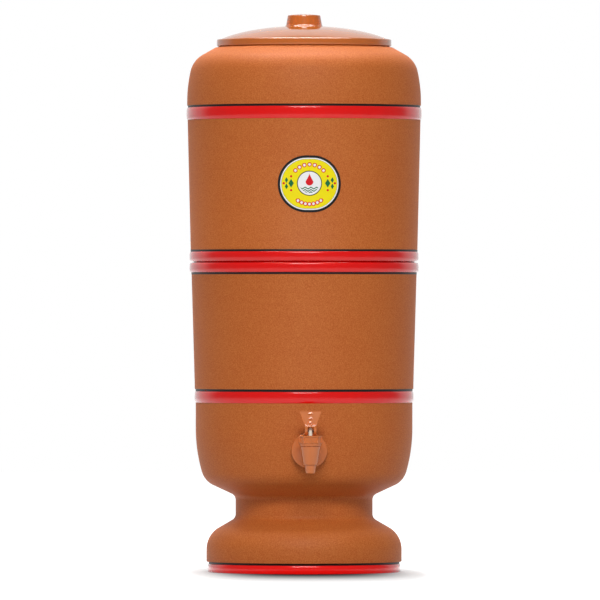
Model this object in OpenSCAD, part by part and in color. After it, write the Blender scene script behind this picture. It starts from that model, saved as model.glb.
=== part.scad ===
// Gravity water filter: two stacked clay vessels, a ceramic candle, a float valve and a lever tap.
//
// Millimetres. +Z is up and the tap faces -Y. The origin is the centre of the foot's hollow, on the
// ground. The lower vessel carries everything: the upper vessel stands in its rim, the lid lies on
// the upper mouth, and the tap is clamped through the lower wall.

/* [Vessel heights and walls] */
// Height of the lower vessel, from the ground to its rim
lower_h = 297.3; // [290:0.1:325]
// Height of the upper vessel, from the joint to its mouth
upper_h = 206.7; // [190:0.1:240]
// Thickness of the clay walls
wall_t = 10; // [8.5:0.5:12]
// Thickness of the clay floors
floor_t = 12; // [10:0.5:16]
// Depth of the spigot under the upper vessel
spigot_h = 8; // [6:0.5:9]
// Play between the spigot and the lower rim
spigot_gap = 1.4; // [0.6:0.1:2.5]
// Round inside the upper vessel, between floor and wall
floor_round = 12; // [8:0.5:16]

/* [Foot and waist] */
// Radius of the foot
foot_r = 93.6; // [88:0.1:100]
// How much the painted foot ring stands back from the foot
foot_inset = 2.2; // [1.5:0.1:3]
// Height of the foot's upright side
foot_side_h = 22; // [18:0.5:28]
// Round at the top of the foot
foot_round = 24; // [20:0.5:28]
// Slope of the foot's top, in degrees above level
foot_slope = 30; // [25:1:36]
// Radius of the waist
waist_r = 65.7; // [62:0.1:70]
// Height of the upright waist
waist_h = 13.9; // [10:0.1:18]
// Hollow round above and below the waist
waist_round = 6.5; // [5:0.5:8]
// Round at the top of the hollow in the foot
hollow_round = 8; // [4:0.5:12]

/* [Belly and lower wall] */
// Radius of the lower vessel below its painted band
belly_r = 103.9; // [101:0.1:106]
// Slope of the belly's underside, in degrees above level
belly_slope = 25; // [21:1:29]
// Tight round under the belly
belly_round = 20; // [18:0.5:24]
// Long curve of the belly
belly_curve = 150; // [135:1:165]
// Angle at which the tight round passes into the long curve
belly_lean = 16; // [14:0.5:18]
// Radius of the lower vessel at its rim
joint_r = 107.9; // [106.5:0.1:108.4]

/* [Upper wall and shoulder] */
// Radius of the upper vessel above the joint band
upper_low_r = 108.7; // [108.5:0.1:110]
// Radius of the upper vessel under its top band
upper_top_r = 111.65; // [110:0.05:114]
// Long curve at the top of the wall
shoulder_curve = 133; // [110:1:160]
// Angle at which the long curve passes into the round
shoulder_lean = 12.6; // [10:0.1:15]
// Round of the shoulder
shoulder_round = 24; // [18:0.5:28]
// Slope of the shoulder, in degrees above level
shoulder_slope = 28; // [22:1:34]
// Radius of the flat on which the lid lies
lid_seat_r = 83; // [82.6:0.1:86]
// Radius of the mouth
mouth_r = 72; // [66:0.5:76]

/* [Painted bands] */
// How far a band stands out of the wall
band_proud = 1.05; // [0.6:0.05:1.6]
// Round on the edges of a band
band_round = 0.6; // [0.2:0.1:1]
// How far the wall steps out above a band
wall_step = 0.95; // [0.4:0.05:1.3]
// Height of the dark line beside a band
line_h = 1.9; // [1.2:0.1:3]
// Thickness of the dark line's glaze
line_t = 0.15; // [0.1:0.05:0.3]
// Height of the band on the foot
foot_band_h = 8.1; // [6:0.1:11]
// Height of the lower band's bottom edge above the ground
lower_band_z = 161.7; // [160:0.1:185]
// Height of the lower band
lower_band_h = 11.9; // [8:0.1:15]
// Height of each band beside the joint
joint_band_h = 8; // [6:0.1:11]
// Bare reveal between the joint and each band
joint_reveal = 1.2; // [0.6:0.1:2.5]
// Height of the top band
top_band_h = 11.7; // [8:0.1:15]
// Upright wall between the top line and the shoulder
top_band_drop = 4.4; // [2:0.1:8]

/* [Lid] */
// Radius of the lid's rim
lid_rim_r = 83.7; // [83.4:0.1:87]
// Height of the rim
lid_rim_h = 5.6; // [4:0.1:8]
// Round on the rim's top edge
lid_rim_round = 1.2; // [0.5:0.1:1.8]
// Height of the dome's crown above the vessel's mouth
lid_crown_h = 19.6; // [15:0.1:26]
// Fullness of the dome: near 0 is a shallow arc, near 1 a half ellipse
lid_fullness = 0.86; // [0.6:0.01:0.93]
// Thickness of the moulded wall
lid_t = 2.4; // [1.8:0.1:3]
// Play between the skirt and the mouth
lid_gap = 1.2; // [0.6:0.1:2]
// Depth of the skirt below the mouth's edge
lid_skirt_h = 9; // [6:0.5:14]
// Radius of the knob
knob_r = 16.9; // [14:0.1:20]
// Height of the knob above the crown
knob_h = 11.4; // [9:0.1:16]
// Round on the knob's top edge
knob_round = 3.8; // [2.6:0.1:4.5]
// How far the knob's foot ring stands out
knob_flare = 0.9; // [0.4:0.1:1.6]
// Height of the knob's foot ring above the crown
knob_ring_h = 1.8; // [1.2:0.1:3]

/* [Label] */
// Width of the label
label_w = 60; // [56:0.5:70]
// Height of the label
label_h = 54; // [44:0.5:55]
// Thickness of the label
label_t = 0.2; // [0.15:0.05:0.4]
// Height of the label's centre above the joint
label_rise = 73.7; // [60:0.1:95]

/* [Tap body] */
// Height of the tap's shank above the ground
tap_z = 118; // [114:0.1:124]
// Radius of the flange
flange_r = 16.9; // [15.5:0.1:19]
// Thickness of the flange
flange_t = 3; // [2:0.1:4]
// Air between the flange's top edge and the belly
flange_gap = 0.7; // [0.5:0.1:2]
// Distance from the flange's face to the valve's axis
valve_reach = 21.5; // [18:0.1:26]
// Radius of the neck between flange and valve
neck_r = 7; // [6:0.1:7.4]
// Radius of the shank
shank_r = 7.9; // [7:0.1:9]
// Radius of the water way in the shank
shank_bore_r = 3.8; // [3:0.1:4]
// Drop from the shank's axis to the bottom of the cone
cone_drop = 13.3; // [12.5:0.1:15]
// Height of the cone
cone_h = 17.9; // [17:0.1:19.5]
// Radius of the cone's top
cone_top_r = 9.9; // [9.4:0.1:10.3]
// Radius of the cone's bottom
cone_low_r = 6.7; // [6.4:0.1:7.6]
// Height of the collar on the cone
collar_h = 2.3; // [1.5:0.1:3]
// Radius of the collar
collar_r = 10.5; // [10.3:0.1:11]
// Length of the spout
spout_h = 8.3; // [6:0.1:12]
// Radius of the spout's top
spout_top_r = 5.5; // [5:0.1:6.2]
// Radius of the spout's tip
spout_tip_r = 4.4; // [4:0.1:5]
// Radius of the bore in the spout
spout_bore_r = 3; // [2.6:0.05:3.2]
// Radius of the port in the valve seat
port_r = 2.5; // [2:0.05:2.8]
// Height of the valve seat above the cone's bottom
seat_h = 3.9; // [3:0.1:4.5]
// Radius of the raised seat
seat_r = 3.7; // [3.3:0.1:4]
// Radius of the valve chamber
chamber_r = 5.4; // [5:0.05:5.6]

/* [Tap bonnet and clamping parts] */
// Radius of the bonnet, over its ribs
bonnet_r = 11.6; // [11.3:0.1:13]
// Height of the bonnet
bonnet_h = 7.4; // [6.5:0.1:9]
// Thickness of the bonnet's top
bonnet_top_t = 1.8; // [1.4:0.1:2.2]
// Number of ribs on the bonnet
rib_n = 10; // [8:1:12]
// Width of a rib
rib_w = 1.5; // [1:0.1:2]
// Depth of the panels between the ribs
panel_t = 0.6; // [0.3:0.05:0.8]
// Height left plain above and below the panels
panel_border = 1.5; // [1:0.1:2]
// Radius of the threaded throat inside the bonnet
throat_r = 8.6; // [8:0.1:8.8]
// Thickness of the gland seal
gland_t = 1.5; // [1:0.1:2]
// Radius of the soft washer behind the flange
outer_washer_r = 13.5; // [12:0.1:14.5]
// Thickness of the washer inside the vessel
inner_washer_t = 2; // [1.5:0.1:3]
// Width of the nut across its flats
nut_flats = 24; // [21:0.5:26]
// Height of the nut
nut_h = 7; // [5:0.5:9]
// Length of shank that stands past the nut
shank_tail = 3; // [1:0.5:6]

/* [Tap lever and valve] */
// Radius of the stem
stem_r = 1.9; // [1.7:0.05:2.1]
// Height of the stem's end above the lever's pin
stem_end = 3.3; // [2.8:0.1:3.6]
// Radius of the stem's head
head_r = 4.4; // [4:0.1:4.8]
// Thickness of the stem's head
head_t = 1.5; // [1:0.1:2]
// Radius of the seat plug
plug_r = 4.2; // [3.9:0.1:4.6]
// Thickness of the seat plug
plug_t = 2.9; // [2.4:0.1:3.4]
// Radius of the nub that holds the plug
nub_r = 1.4; // [1:0.1:1.8]
// Mean radius of the spring
spring_r = 3.3; // [3:0.05:3.6]
// Radius of the spring's wire
wire_r = 0.35; // [0.25:0.05:0.45]
// Number of turns of the spring
spring_turns = 6; // [4:1:8]
// Height of the lever's pin above the bonnet
pin_h = 4.3; // [4:0.1:5]
// Radius of the lever's pin
pin_r = 0.8; // [0.6:0.05:1]
// Lift of the stem for each degree of lever
cam_rate = 0.0314; // [0.025:0.0001:0.036]
// Angle through which the lever tilts
lever_throw = 75; // [60:1:80]
// Width of the lever's fork
fork_w = 10.8; // [10:0.1:12]
// Width of the slot in the fork
slot_w = 5.9; // [5:0.1:6.4]
// Height of the slot above the pin
slot_h = 4.1; // [4:0.1:4.6]
// Depth of the fork behind the pin
fork_back = 3.2; // [2.6:0.1:4]
// Height of the fan's foot above the pin
fan_foot = 5.4; // [5:0.1:6.5]
// Height of the fan's top above the pin
fan_top = 19; // [17:0.1:22]
// Width of the fan's top
fan_w = 21; // [17:0.1:24]
// Thickness of the fan
fan_t = 2.8; // [2.2:0.1:3.4]
// How far the fan's top leans back
fan_lean = 2; // [0:0.1:3]
// Width of the top thumb grip, of three
grip_w = 4.8; // [3.5:0.1:6]
// Radius of the thumb grips
grip_r = 1; // [0.7:0.05:1.3]

/* [Filter candle] */
// Radius of the ceramic shell
candle_r = 25.5; // [22:0.5:28]
// Height of the ceramic shell
candle_h = 108; // [90:1:130]
// Thickness of the ceramic
candle_t = 7; // [5:0.5:9]
// Height of the carbon block
carbon_h = 66; // [40:1:72]
// Wall of the plastic cup
cup_t = 2; // [1.5:0.1:3]
// Depth of the cup around the ceramic
cup_depth = 7; // [5:0.5:10]
// Thickness of the cup's floor
cup_floor = 6; // [4:0.5:9]
// Radius of the candle's threaded stem
thread_r = 5; // [4.5:0.1:5.5]
// Radius of the outlet in the stem
outlet_r = 2; // [1.5:0.1:2.5]
// Radius of the soft washers of the candle
candle_washer_r = 16; // [13:0.5:20]
// Thickness of the soft washers of the candle
candle_washer_t = 2; // [1.5:0.1:3]
// Radius of the wing nut's hub
wing_hub_r = 9; // [8:0.5:11]
// Height of the wing nut
wing_h = 8; // [6:0.5:10]
// Radius over the wings
wing_r = 18; // [15:0.5:22]
// Thickness of a wing
wing_t = 3; // [2:0.1:4]

/* [Float valve] */
// Radius of the bracket's collar
bracket_r = 8.5; // [7.5:0.1:10]
// Height of the bracket's collar
bracket_h = 9; // [7:0.5:11]
// Length of thread that stands past the bracket
nozzle_h = 3.5; // [2.5:0.1:5]
// Distance from the candle's axis to the float's hinge
hinge_x = 14; // [12.5:0.1:16]
// Drop from the thread's end to the hinge
hinge_drop = 2.5; // [2:0.1:3.5]
// Radius of the hinge pin
hinge_pin_r = 1.05; // [0.8:0.05:1.3]
// Thickness of a bracket ear
ear_t = 2.2; // [1.6:0.1:3]
// Radius of a bracket ear around the pin
ear_r = 3.6; // [3:0.1:4.4]
// Width of the arm's hub
hub_w = 8; // [6.5:0.1:10]
// Width of the arm
arm_w = 11; // [10.5:0.1:14]
// Thickness of the arm
arm_t = 4; // [3.4:0.1:5]
// Distance from the candle's axis to the float's axis
float_x = 38; // [34:0.5:44]
// Radius of the float
float_r = 20; // [16:0.5:22]
// Height of the float
float_h = 20; // [16:0.5:24]
// Round on the float's edges
float_round = 3; // [1:0.5:5]
// Radius of the peg that holds the float
peg_r = 2.5; // [2:0.1:3.2]
// Radius of the soft pad
pad_r = 4.5; // [4:0.1:4.9]
// Thickness of the soft pad
pad_t = 2.5; // [2:0.1:3]
// Angle by which the arm hangs below its shut position
float_hang = 22; // [15:0.5:26]

/* [Fits] */
// Radial play of a pin or stem that moves in its bore
run_gap = 0.05; // [0.02:0.01:0.09]
// Radial play of a thread in its nut or cap
thread_gap = 0.12; // [0.05:0.01:0.2]
// Radial play of a part that passes through a hole in the clay
clay_gap = 0.6; // [0.4:0.05:1.2]
// Gap beside a soft or loosely seated piece
seat_gap = 0.25; // [0.15:0.05:0.4]
// Gap under the label
glue_gap = 0.1; // [0.05:0.01:0.2]

/* [Hidden] */
$fn = 96;
// Small overlap that makes a cut pass its face
eps = 0.5;
// Depth by which a band or line is rooted in the wall behind it
root_t = 2;

// Lower vessel, upwards
foot_low_r = foot_r - foot_inset;
foot_line_z = foot_band_h + line_h;
foot_end_x = foot_r - foot_round * (1 - sin(foot_slope));
foot_end_z = foot_side_h + foot_round * cos(foot_slope);
waist_in_x = waist_r + waist_round * (1 - sin(foot_slope));
waist_z0 = foot_end_z + (foot_end_x - waist_in_x) * tan(foot_slope) + waist_round * cos(foot_slope);
waist_z1 = waist_z0 + waist_h;
waist_out_x = waist_r + waist_round * (1 - sin(belly_slope));
waist_out_z = waist_z1 + waist_round * cos(belly_slope);
belly_cx = belly_r - belly_curve;
round_cx = belly_cx + (belly_curve - belly_round) * cos(belly_lean);
round_x = round_cx + belly_round * sin(belly_slope);
round_cz = waist_out_z + (round_x - waist_out_x) * tan(belly_slope) + belly_round * cos(belly_slope);
belly_z = round_cz + (belly_curve - belly_round) * sin(belly_lean);
lower_floor_z = round_cz - (belly_round - wall_t);
hollow_z = lower_floor_z - floor_t;
lower_line_z = lower_band_z + lower_band_h;
lower_joint_z = lower_h - joint_reveal - joint_band_h;
joint_band_r = upper_low_r + band_proud;
rim_in_r = joint_r - wall_t;

// Upper vessel, upwards
mouth_z = lower_h + upper_h;
spigot_r = rim_in_r - spigot_gap;
upper_base_z = lower_h - spigot_h;
upper_floor_z = upper_base_z + floor_t;
upper_joint_z = lower_h + joint_reveal;
upper_line_z = upper_joint_z + joint_band_h;
shoulder_r = upper_top_r + wall_step;
crest_dx = (shoulder_curve - shoulder_round) * cos(shoulder_lean);
crest_dz = (shoulder_curve - shoulder_round) * sin(shoulder_lean);
crest_cx = shoulder_r - shoulder_curve + crest_dx;
slope_x = crest_cx + shoulder_round * sin(shoulder_slope);
shoulder_z = mouth_z - (slope_x - lid_seat_r) * tan(shoulder_slope)
    - shoulder_round * cos(shoulder_slope) - crest_dz;
crest_cz = shoulder_z + crest_dz;
top_line_z = shoulder_z - top_band_drop - line_h;
top_band_z = top_line_z - top_band_h;
neck_z = mouth_z + (lid_seat_r - mouth_r) * tan(shoulder_slope) - wall_t / cos(shoulder_slope);

// Lid
dome_r = lid_rim_r - lid_rim_round;
crown_z = mouth_z + lid_crown_h;
knob_top_z = crown_z + knob_h;
skirt_r = mouth_r - lid_gap;

// Label
label_z = lower_h + label_rise;

// Tap, outwards along -Y and then upwards
outer_seat_r = outer_washer_r + 0.3;
belly_seat_y = -belly_x(tap_z - outer_seat_r) + 0.2;
flange_y = -(belly_r + flange_gap);
face_y = flange_y - flange_t;
valve_y = face_y - valve_reach;
inner_washer_r = nut_flats / 2 / cos(30);
inner_seat_r = inner_washer_r + 0.3;
inner_seat_y = -(belly_r - wall_t);
shank_end_y = inner_seat_y + inner_washer_t + nut_h + shank_tail;
cone_z = tap_z - cone_drop;
spout_z = cone_z - spout_h;
seat_z = cone_z + seat_h;
chamber_z = seat_z - 1;
collar_z = cone_z + cone_h;
bonnet_z = collar_z + collar_h;
bonnet_top_z = bonnet_z + bonnet_h;
gland_z = bonnet_top_z - bonnet_top_t - gland_t;
head_z = seat_z + plug_t;
spring_z = head_z + head_t;
pin_z = bonnet_top_z + pin_h;

// Candle and float valve, downwards from the upper floor
cup_z = upper_floor_z + candle_washer_t;
shell_z = cup_z + cup_floor;
cup_r = candle_r + seat_gap + cup_t;
wing_z = upper_base_z - candle_washer_t - wing_h;
bracket_z = wing_z - seat_gap - bracket_h;
thread_end_z = bracket_z - nozzle_h;
hinge_z = thread_end_z - hinge_drop;
pad_top_z = thread_end_z - seat_gap;
arm_top_z = pad_top_z - pad_t / 2;
float_top_z = arm_top_z - arm_t - seat_gap;

// Points of an arc about [x, z], from angle a0 to angle a1
function arc(x, z, r, a0, a1, n = 8) =
    [for (i = [0:n]) let (a = a0 + (a1 - a0) * i / n) [x + r * cos(a), z + r * sin(a)]];

// Radius of the belly's outside at height z, on its long curve and above
function belly_x(z) = z >= belly_z ? belly_r : belly_cx + sqrt(pow(belly_curve, 2) - pow(belly_z - z, 2));

// Radius of the upper vessel's tapered wall at height z
function upper_x(z) = upper_low_r + (upper_top_r - upper_low_r)
    * (z - upper_line_z - line_h) / (top_band_z - upper_line_z - line_h);

// Height of the lid's dome above the rim at radius r
function dome_h(r) = (lid_crown_h - lid_rim_h)
    * (sqrt(1 - pow(lid_fullness * r / dome_r, 2)) - sqrt(1 - pow(lid_fullness, 2)))
    / (1 - sqrt(1 - pow(lid_fullness, 2)));

// Points of the dome between two radii, dropped by t
function dome(r0, r1, t = 0, n = 12) = [for (i = [0:n]) let (r = r0 + (r1 - r0) * i / n)
    [r, mouth_z + lid_rim_h + dome_h(r) - t]];

// Point of the lever's cam that bears on the bonnet when the lever is tilted by a, as [forward, up]
function cam_point(a) = let (k = cam_rate * 180 / PI, s = pin_h - run_gap + cam_rate * a)
    [k * cos(a) + s * sin(a), k * sin(a) - s * cos(a)];

// Ring of height h between radii root and r, with its outer edges rounded by e
module ring(root, r, z, h, e = 0) {
    rotate_extrude() polygon(concat(
        [[root, z]],
        e > 0 ? concat(arc(r - e, z + e, e, -90, 0, 3), arc(r - e, z + h - e, e, 0, 90, 3))
            : [[r, z], [r, z + h]],
        [[root, z + h]]));
}

// Raised painted band on a wall of radius r
module band(r, z, h) {
    color("crimson") ring(r - root_t, r + band_proud, z, h, band_round);
}

// Dark glazed line on a wall of radius r
module dark_line(r, z) {
    color("black") ring(r - root_t, r + line_t, z, line_h);
}

// Flat washer about Z
module washer(r_out, r_in, z, t) {
    translate([0, 0, z]) difference() {
        cylinder(r = r_out, h = t);
        translate([0, 0, -eps]) cylinder(r = r_in, h = t + 2 * eps);
    }
}

// Turns a shape that stands on Z so that it lies along +Y from y, at the height of the shank
module on_shank(y) {
    translate([0, y, tap_z]) rotate([-90, 0, 0]) children();
}

// Storage vessel with waist and hollow foot
module lower_vessel() {
    outside = concat(
        [[foot_low_r, 0], [foot_low_r, foot_line_z], [foot_r, foot_line_z]],
        arc(foot_r - foot_round, foot_side_h, foot_round, 0, 90 - foot_slope),
        arc(waist_r + waist_round, waist_z0, waist_round, 270 - foot_slope, 180, 5),
        arc(waist_r + waist_round, waist_z1, waist_round, 180, 90 + belly_slope, 5),
        arc(round_cx, round_cz, belly_round, belly_slope - 90, -belly_lean, 6),
        arc(belly_cx, belly_z, belly_curve, -belly_lean, 0, 5),
        [[belly_r, lower_line_z + line_h], [belly_r + wall_step, lower_line_z + line_h],
         [joint_r, lower_joint_z - line_h], [joint_r, lower_h]]);
    inside = concat(
        [[rim_in_r, lower_h], [rim_in_r, lower_joint_z - line_h]],
        arc(belly_cx, belly_z, belly_curve - wall_t, 0, -belly_lean, 5),
        arc(round_cx, round_cz, belly_round - wall_t, -belly_lean, -90, 6),
        [[0, lower_floor_z], [0, hollow_z]]);
    hollow = concat(
        arc(waist_r - wall_t - hollow_round, hollow_z - hollow_round, hollow_round, 90, 0, 4),
        arc(waist_r + waist_round, waist_z0, waist_round + wall_t, 180, 270 - foot_slope, 5),
        arc(foot_r - foot_round, foot_side_h, foot_round - wall_t, 90 - foot_slope, 0, 6),
        [[foot_r - wall_t, 0]]);
    color("chocolate") difference() {
        rotate_extrude() polygon(concat(outside, inside, hollow));
        on_shank(-belly_r - eps) cylinder(r = shank_r + clay_gap, h = wall_t + 4);
        on_shank(-belly_r - eps) cylinder(r = outer_seat_r, h = belly_seat_y + belly_r + eps);
        on_shank(inner_seat_y) cylinder(r = inner_seat_r, h = wall_t);
    }
    band(foot_low_r, 0, foot_band_h);
    dark_line(foot_low_r, foot_band_h);
    band(belly_r, lower_band_z, lower_band_h);
    dark_line(belly_r, lower_line_z);
    dark_line(joint_r, lower_joint_z - line_h);
    color("crimson") ring(joint_r - root_t, joint_band_r, lower_joint_z, joint_band_h, band_round);
}

// Raw-water vessel with spigot, shoulder and mouth
module upper_vessel() {
    low_in_r = upper_low_r - wall_t;
    outside = concat(
        [[0, upper_base_z], [spigot_r - 1, upper_base_z], [spigot_r, upper_base_z + 1],
         [spigot_r, lower_h], [joint_r, lower_h], [joint_r, upper_joint_z],
         [upper_low_r, upper_joint_z], [upper_low_r, upper_line_z + line_h],
         [upper_top_r, top_band_z], [upper_top_r, top_line_z + line_h],
         [shoulder_r, top_line_z + line_h]],
        arc(shoulder_r - shoulder_curve, shoulder_z, shoulder_curve, 0, shoulder_lean, 5),
        arc(crest_cx, crest_cz, shoulder_round, shoulder_lean, 90 - shoulder_slope, 8),
        [[lid_seat_r, mouth_z], [mouth_r, mouth_z]]);
    inside = concat(
        [[mouth_r, neck_z]],
        arc(crest_cx, crest_cz, shoulder_round - wall_t, 90 - shoulder_slope, shoulder_lean, 6),
        arc(shoulder_r - shoulder_curve, shoulder_z, shoulder_curve - wall_t, shoulder_lean, 0, 5),
        arc(low_in_r - floor_round, upper_floor_z + floor_round, floor_round, 0, -90, 5),
        [[0, upper_floor_z]]);
    color("chocolate") difference() {
        rotate_extrude() polygon(concat(outside, inside));
        translate([0, 0, upper_base_z - eps]) cylinder(r = thread_r + clay_gap, h = floor_t + 2 * eps);
    }
    band(upper_low_r, upper_joint_z, joint_band_h);
    dark_line(upper_low_r, upper_line_z);
    band(upper_top_r, top_band_z, top_band_h);
    dark_line(upper_top_r, top_line_z);
}

// Moulded lid: domed plate with rim, hollow knob and locating skirt
module lid() {
    ring_r = knob_r + knob_flare;
    hollow_r = knob_r - lid_t;
    color("peru") rotate_extrude() polygon(concat(
        [[lid_rim_r, mouth_z]],
        arc(dome_r, mouth_z + lid_rim_h - lid_rim_round, lid_rim_round, 0, 90, 4),
        dome(dome_r - 0.5, ring_r),
        [[ring_r, crown_z + knob_ring_h - 1], [knob_r, crown_z + knob_ring_h]],
        arc(knob_r - knob_round, knob_top_z - knob_round, knob_round, 0, 90, 6),
        [[0, knob_top_z], [0, knob_top_z - lid_t], [hollow_r, knob_top_z - lid_t]],
        dome(hollow_r, skirt_r - lid_t, lid_t),
        [[skirt_r - lid_t, mouth_z - lid_skirt_h], [skirt_r, mouth_z - lid_skirt_h]],
        dome(skirt_r, lid_rim_r - lid_t, lid_t, 3),
        [[lid_rim_r - lid_t, mouth_z]]));
}

// Printed label with round ends, bent round the upper vessel's wall
module front_label() {
    z0 = label_z - label_h / 2;
    z1 = label_z + label_h / 2;
    in_r = [for (z = [z0, z1]) upper_x(z) + glue_gap];
    reach = max(in_r) + label_t + eps;
    color("gold") intersection() {
        rotate_extrude() polygon([[in_r[0], z0], [in_r[0] + label_t, z0],
            [in_r[1] + label_t, z1], [in_r[1], z1]]);
        translate([0, 0, label_z]) rotate([90, 0, 0]) linear_extrude(reach) union() {
            for (s = [-1, 1]) translate([s * (label_w - label_h) / 2, 0]) circle(d = label_h);
            square([label_w - label_h, label_h], center = true);
        }
    }
}

// Tap moulding: shank, flange, neck, valve body, throat and spout
module tap_body() {
    color("coral") difference() {
        union() {
            on_shank(flange_y - eps) cylinder(r = shank_r, h = shank_end_y - flange_y + eps);
            on_shank(face_y) cylinder(r = flange_r, h = flange_t);
            on_shank(valve_y) cylinder(r = neck_r, h = valve_reach + eps);
            translate([0, valve_y, cone_z]) cylinder(r1 = cone_low_r, r2 = cone_top_r, h = cone_h);
            translate([0, valve_y, collar_z]) cylinder(r = collar_r, h = collar_h);
            translate([0, valve_y, collar_z]) cylinder(r = throat_r, h = gland_z - collar_z);
            translate([0, valve_y, spout_z])
                cylinder(r1 = spout_tip_r, r2 = spout_top_r, h = spout_h);
        }
        on_shank(valve_y) cylinder(r = shank_bore_r, h = shank_end_y - valve_y + eps);
        translate([0, valve_y, 0]) rotate_extrude() polygon([[0, seat_z], [seat_r, seat_z],
            [seat_r, chamber_z], [chamber_r, chamber_z], [chamber_r, gland_z + eps],
            [0, gland_z + eps]]);
        translate([0, valve_y, cone_z - eps]) cylinder(r = port_r, h = seat_h + 2 * eps);
        translate([0, valve_y, spout_z - eps]) cylinder(r = spout_bore_r, h = spout_h + eps);
    }
}

// Ribbed cap on the valve's throat
module tap_bonnet() {
    apothem = bonnet_r * cos(180 / rib_n);
    panel_w = 2 * bonnet_r * sin(180 / rib_n) - rib_w;
    color("coral") translate([0, valve_y, 0]) difference() {
        translate([0, 0, bonnet_z]) rotate(90) cylinder(r = bonnet_r, h = bonnet_h, $fn = rib_n);
        translate([0, 0, bonnet_z - eps])
            cylinder(r = throat_r + thread_gap, h = bonnet_h - bonnet_top_t + eps);
        translate([0, 0, bonnet_z]) cylinder(r = stem_r + run_gap, h = bonnet_h + eps);
        for (i = [0:rib_n - 1]) rotate(90 + (i + 0.5) * 360 / rib_n)
            translate([apothem - panel_t, -panel_w / 2, bonnet_z + panel_border])
                cube([panel_t + eps, panel_w, bonnet_h - 2 * panel_border]);
    }
}

// Forked lever: a cam foot on each leg, and a fan with three thumb grips
module tap_lever() {
    nose = cam_point(lever_throw);
    front_x = fan_t - 0.2;
    back_x = front_x - fan_t;
    foot = pin_h - run_gap;
    depth = 2 * (nose[0] + fork_back + fan_t + fan_lean);
    side = concat(
        [[-fork_back, -foot + 0.6], [-fork_back + 0.6, -foot]],
        [for (i = [0:8]) cam_point(lever_throw * i / 8)],
        [[nose[0] + 0.1, nose[1] + 1.4], [front_x + 1.2, fan_foot - 1.4], [front_x, fan_foot],
         [front_x - fan_lean, fan_top], [back_x - fan_lean, fan_top],
         [back_x, fan_foot], [-fork_back, fan_foot - 3]]);
    color("coral") translate([0, valve_y, pin_z]) difference() {
        union() {
            intersection() {
                rotate([90, 0, 90]) linear_extrude(fan_w, center = true)
                    polygon([for (p = side) [-p[0], p[1]]]);
                rotate([90, 0, 0]) linear_extrude(depth, center = true) polygon([
                    [-fork_w / 2, -foot - 1], [fork_w / 2, -foot - 1], [fork_w / 2, fan_foot],
                    [fan_w / 2, fan_top - 0.8], [fan_w / 2 - 0.8, fan_top],
                    [0.8 - fan_w / 2, fan_top], [-fan_w / 2, fan_top - 0.8],
                    [-fork_w / 2, fan_foot]]);
            }
            for (i = [0:2]) let (up = fan_top - 1.6 - i * (fan_top - fan_foot) * 0.31,
                    out = front_x - fan_lean * (up - fan_foot) / (fan_top - fan_foot),
                    w = grip_w * (1 - 0.2 * i))
                translate([0, -out + grip_r * 0.4, up]) {
                    rotate([0, 90, 0]) cylinder(r = grip_r, h = w - 2 * grip_r, center = true);
                    for (s = [-1, 1]) translate([s * (w / 2 - grip_r), 0, 0]) sphere(r = grip_r);
                }
        }
        translate([-slot_w / 2, -depth / 2, -foot - eps]) cube([slot_w, depth, foot + slot_h + eps]);
        rotate([0, 90, 0]) cylinder(r = pin_r + run_gap, h = fork_w + 2 * eps, center = true);
    }
}

// Stem with head, plug nub and cross hole
module tap_stem() {
    color("ivory") translate([0, valve_y, 0]) difference() {
        union() {
            translate([0, 0, head_z - plug_t * 0.7]) cylinder(r = nub_r, h = plug_t * 0.7 + eps);
            translate([0, 0, head_z]) cylinder(r = head_r, h = head_t);
            translate([0, 0, head_z]) cylinder(r = stem_r, h = pin_z + stem_end - head_z);
        }
        translate([0, 0, pin_z]) rotate([0, 90, 0])
            cylinder(r = pin_r + run_gap, h = 2 * stem_r + 2 * eps, center = true);
    }
}

// Cross pin of the lever
module tap_lever_pin() {
    color("silver") translate([0, valve_y, pin_z]) rotate([0, 90, 0])
        cylinder(r = pin_r, h = fork_w - 2 * seat_gap, center = true);
}

// Helical spring between the stem's head and the gland seal
module tap_spring() {
    sides = 6;
    steps = 16 * spring_turns;
    rise = gland_z - spring_z - 2 * wire_r;
    ring_at = function (i) [for (j = [0:sides - 1])
        let (a = 360 * spring_turns * i / steps, b = 360 * j / sides, r = spring_r + wire_r * cos(b))
        [r * cos(a), r * sin(a), spring_z + wire_r + rise * i / steps + wire_r * sin(b)]];
    points = [for (i = [0:steps]) each ring_at(i)];
    skin = [for (i = [0:steps - 1], j = [0:sides - 1]) let (k = (j + 1) % sides)
        [i * sides + j, i * sides + k, (i + 1) * sides + k, (i + 1) * sides + j]];
    ends = [[for (j = [sides - 1:-1:0]) j], [for (j = [0:sides - 1]) steps * sides + j]];
    color("silver") translate([0, valve_y, 0]) polyhedron(points, concat(skin, ends));
}

// Soft plug on the valve seat
module tap_seat_plug() {
    color("white") translate([0, valve_y, seat_z]) difference() {
        cylinder(r = plug_r, h = plug_t);
        translate([0, 0, plug_t * 0.3 - run_gap]) cylinder(r = nub_r + run_gap, h = plug_t);
    }
}

// Soft ring that seals the stem and the throat
module tap_gland_seal() {
    color("dimgray") translate([0, valve_y, 0]) washer(throat_r, stem_r + run_gap, gland_z, gland_t);
}

// Thick soft washer between flange and clay
module tap_outer_washer() {
    color("dimgray") on_shank(flange_y)
        washer(outer_washer_r, shank_r + thread_gap, 0, belly_seat_y - flange_y);
}

// Soft washer on the flat inside the vessel
module tap_inner_washer() {
    color("dimgray") on_shank(inner_seat_y)
        washer(inner_washer_r, shank_r + thread_gap, 0, inner_washer_t);
}

// Six-sided nut on the shank
module tap_nut() {
    color("coral") on_shank(inner_seat_y + inner_washer_t) difference() {
        cylinder(r = nut_flats / 2 / cos(30), h = nut_h, $fn = 6);
        translate([0, 0, -eps]) cylinder(r = shank_r + thread_gap, h = nut_h + 2 * eps);
    }
}

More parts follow.
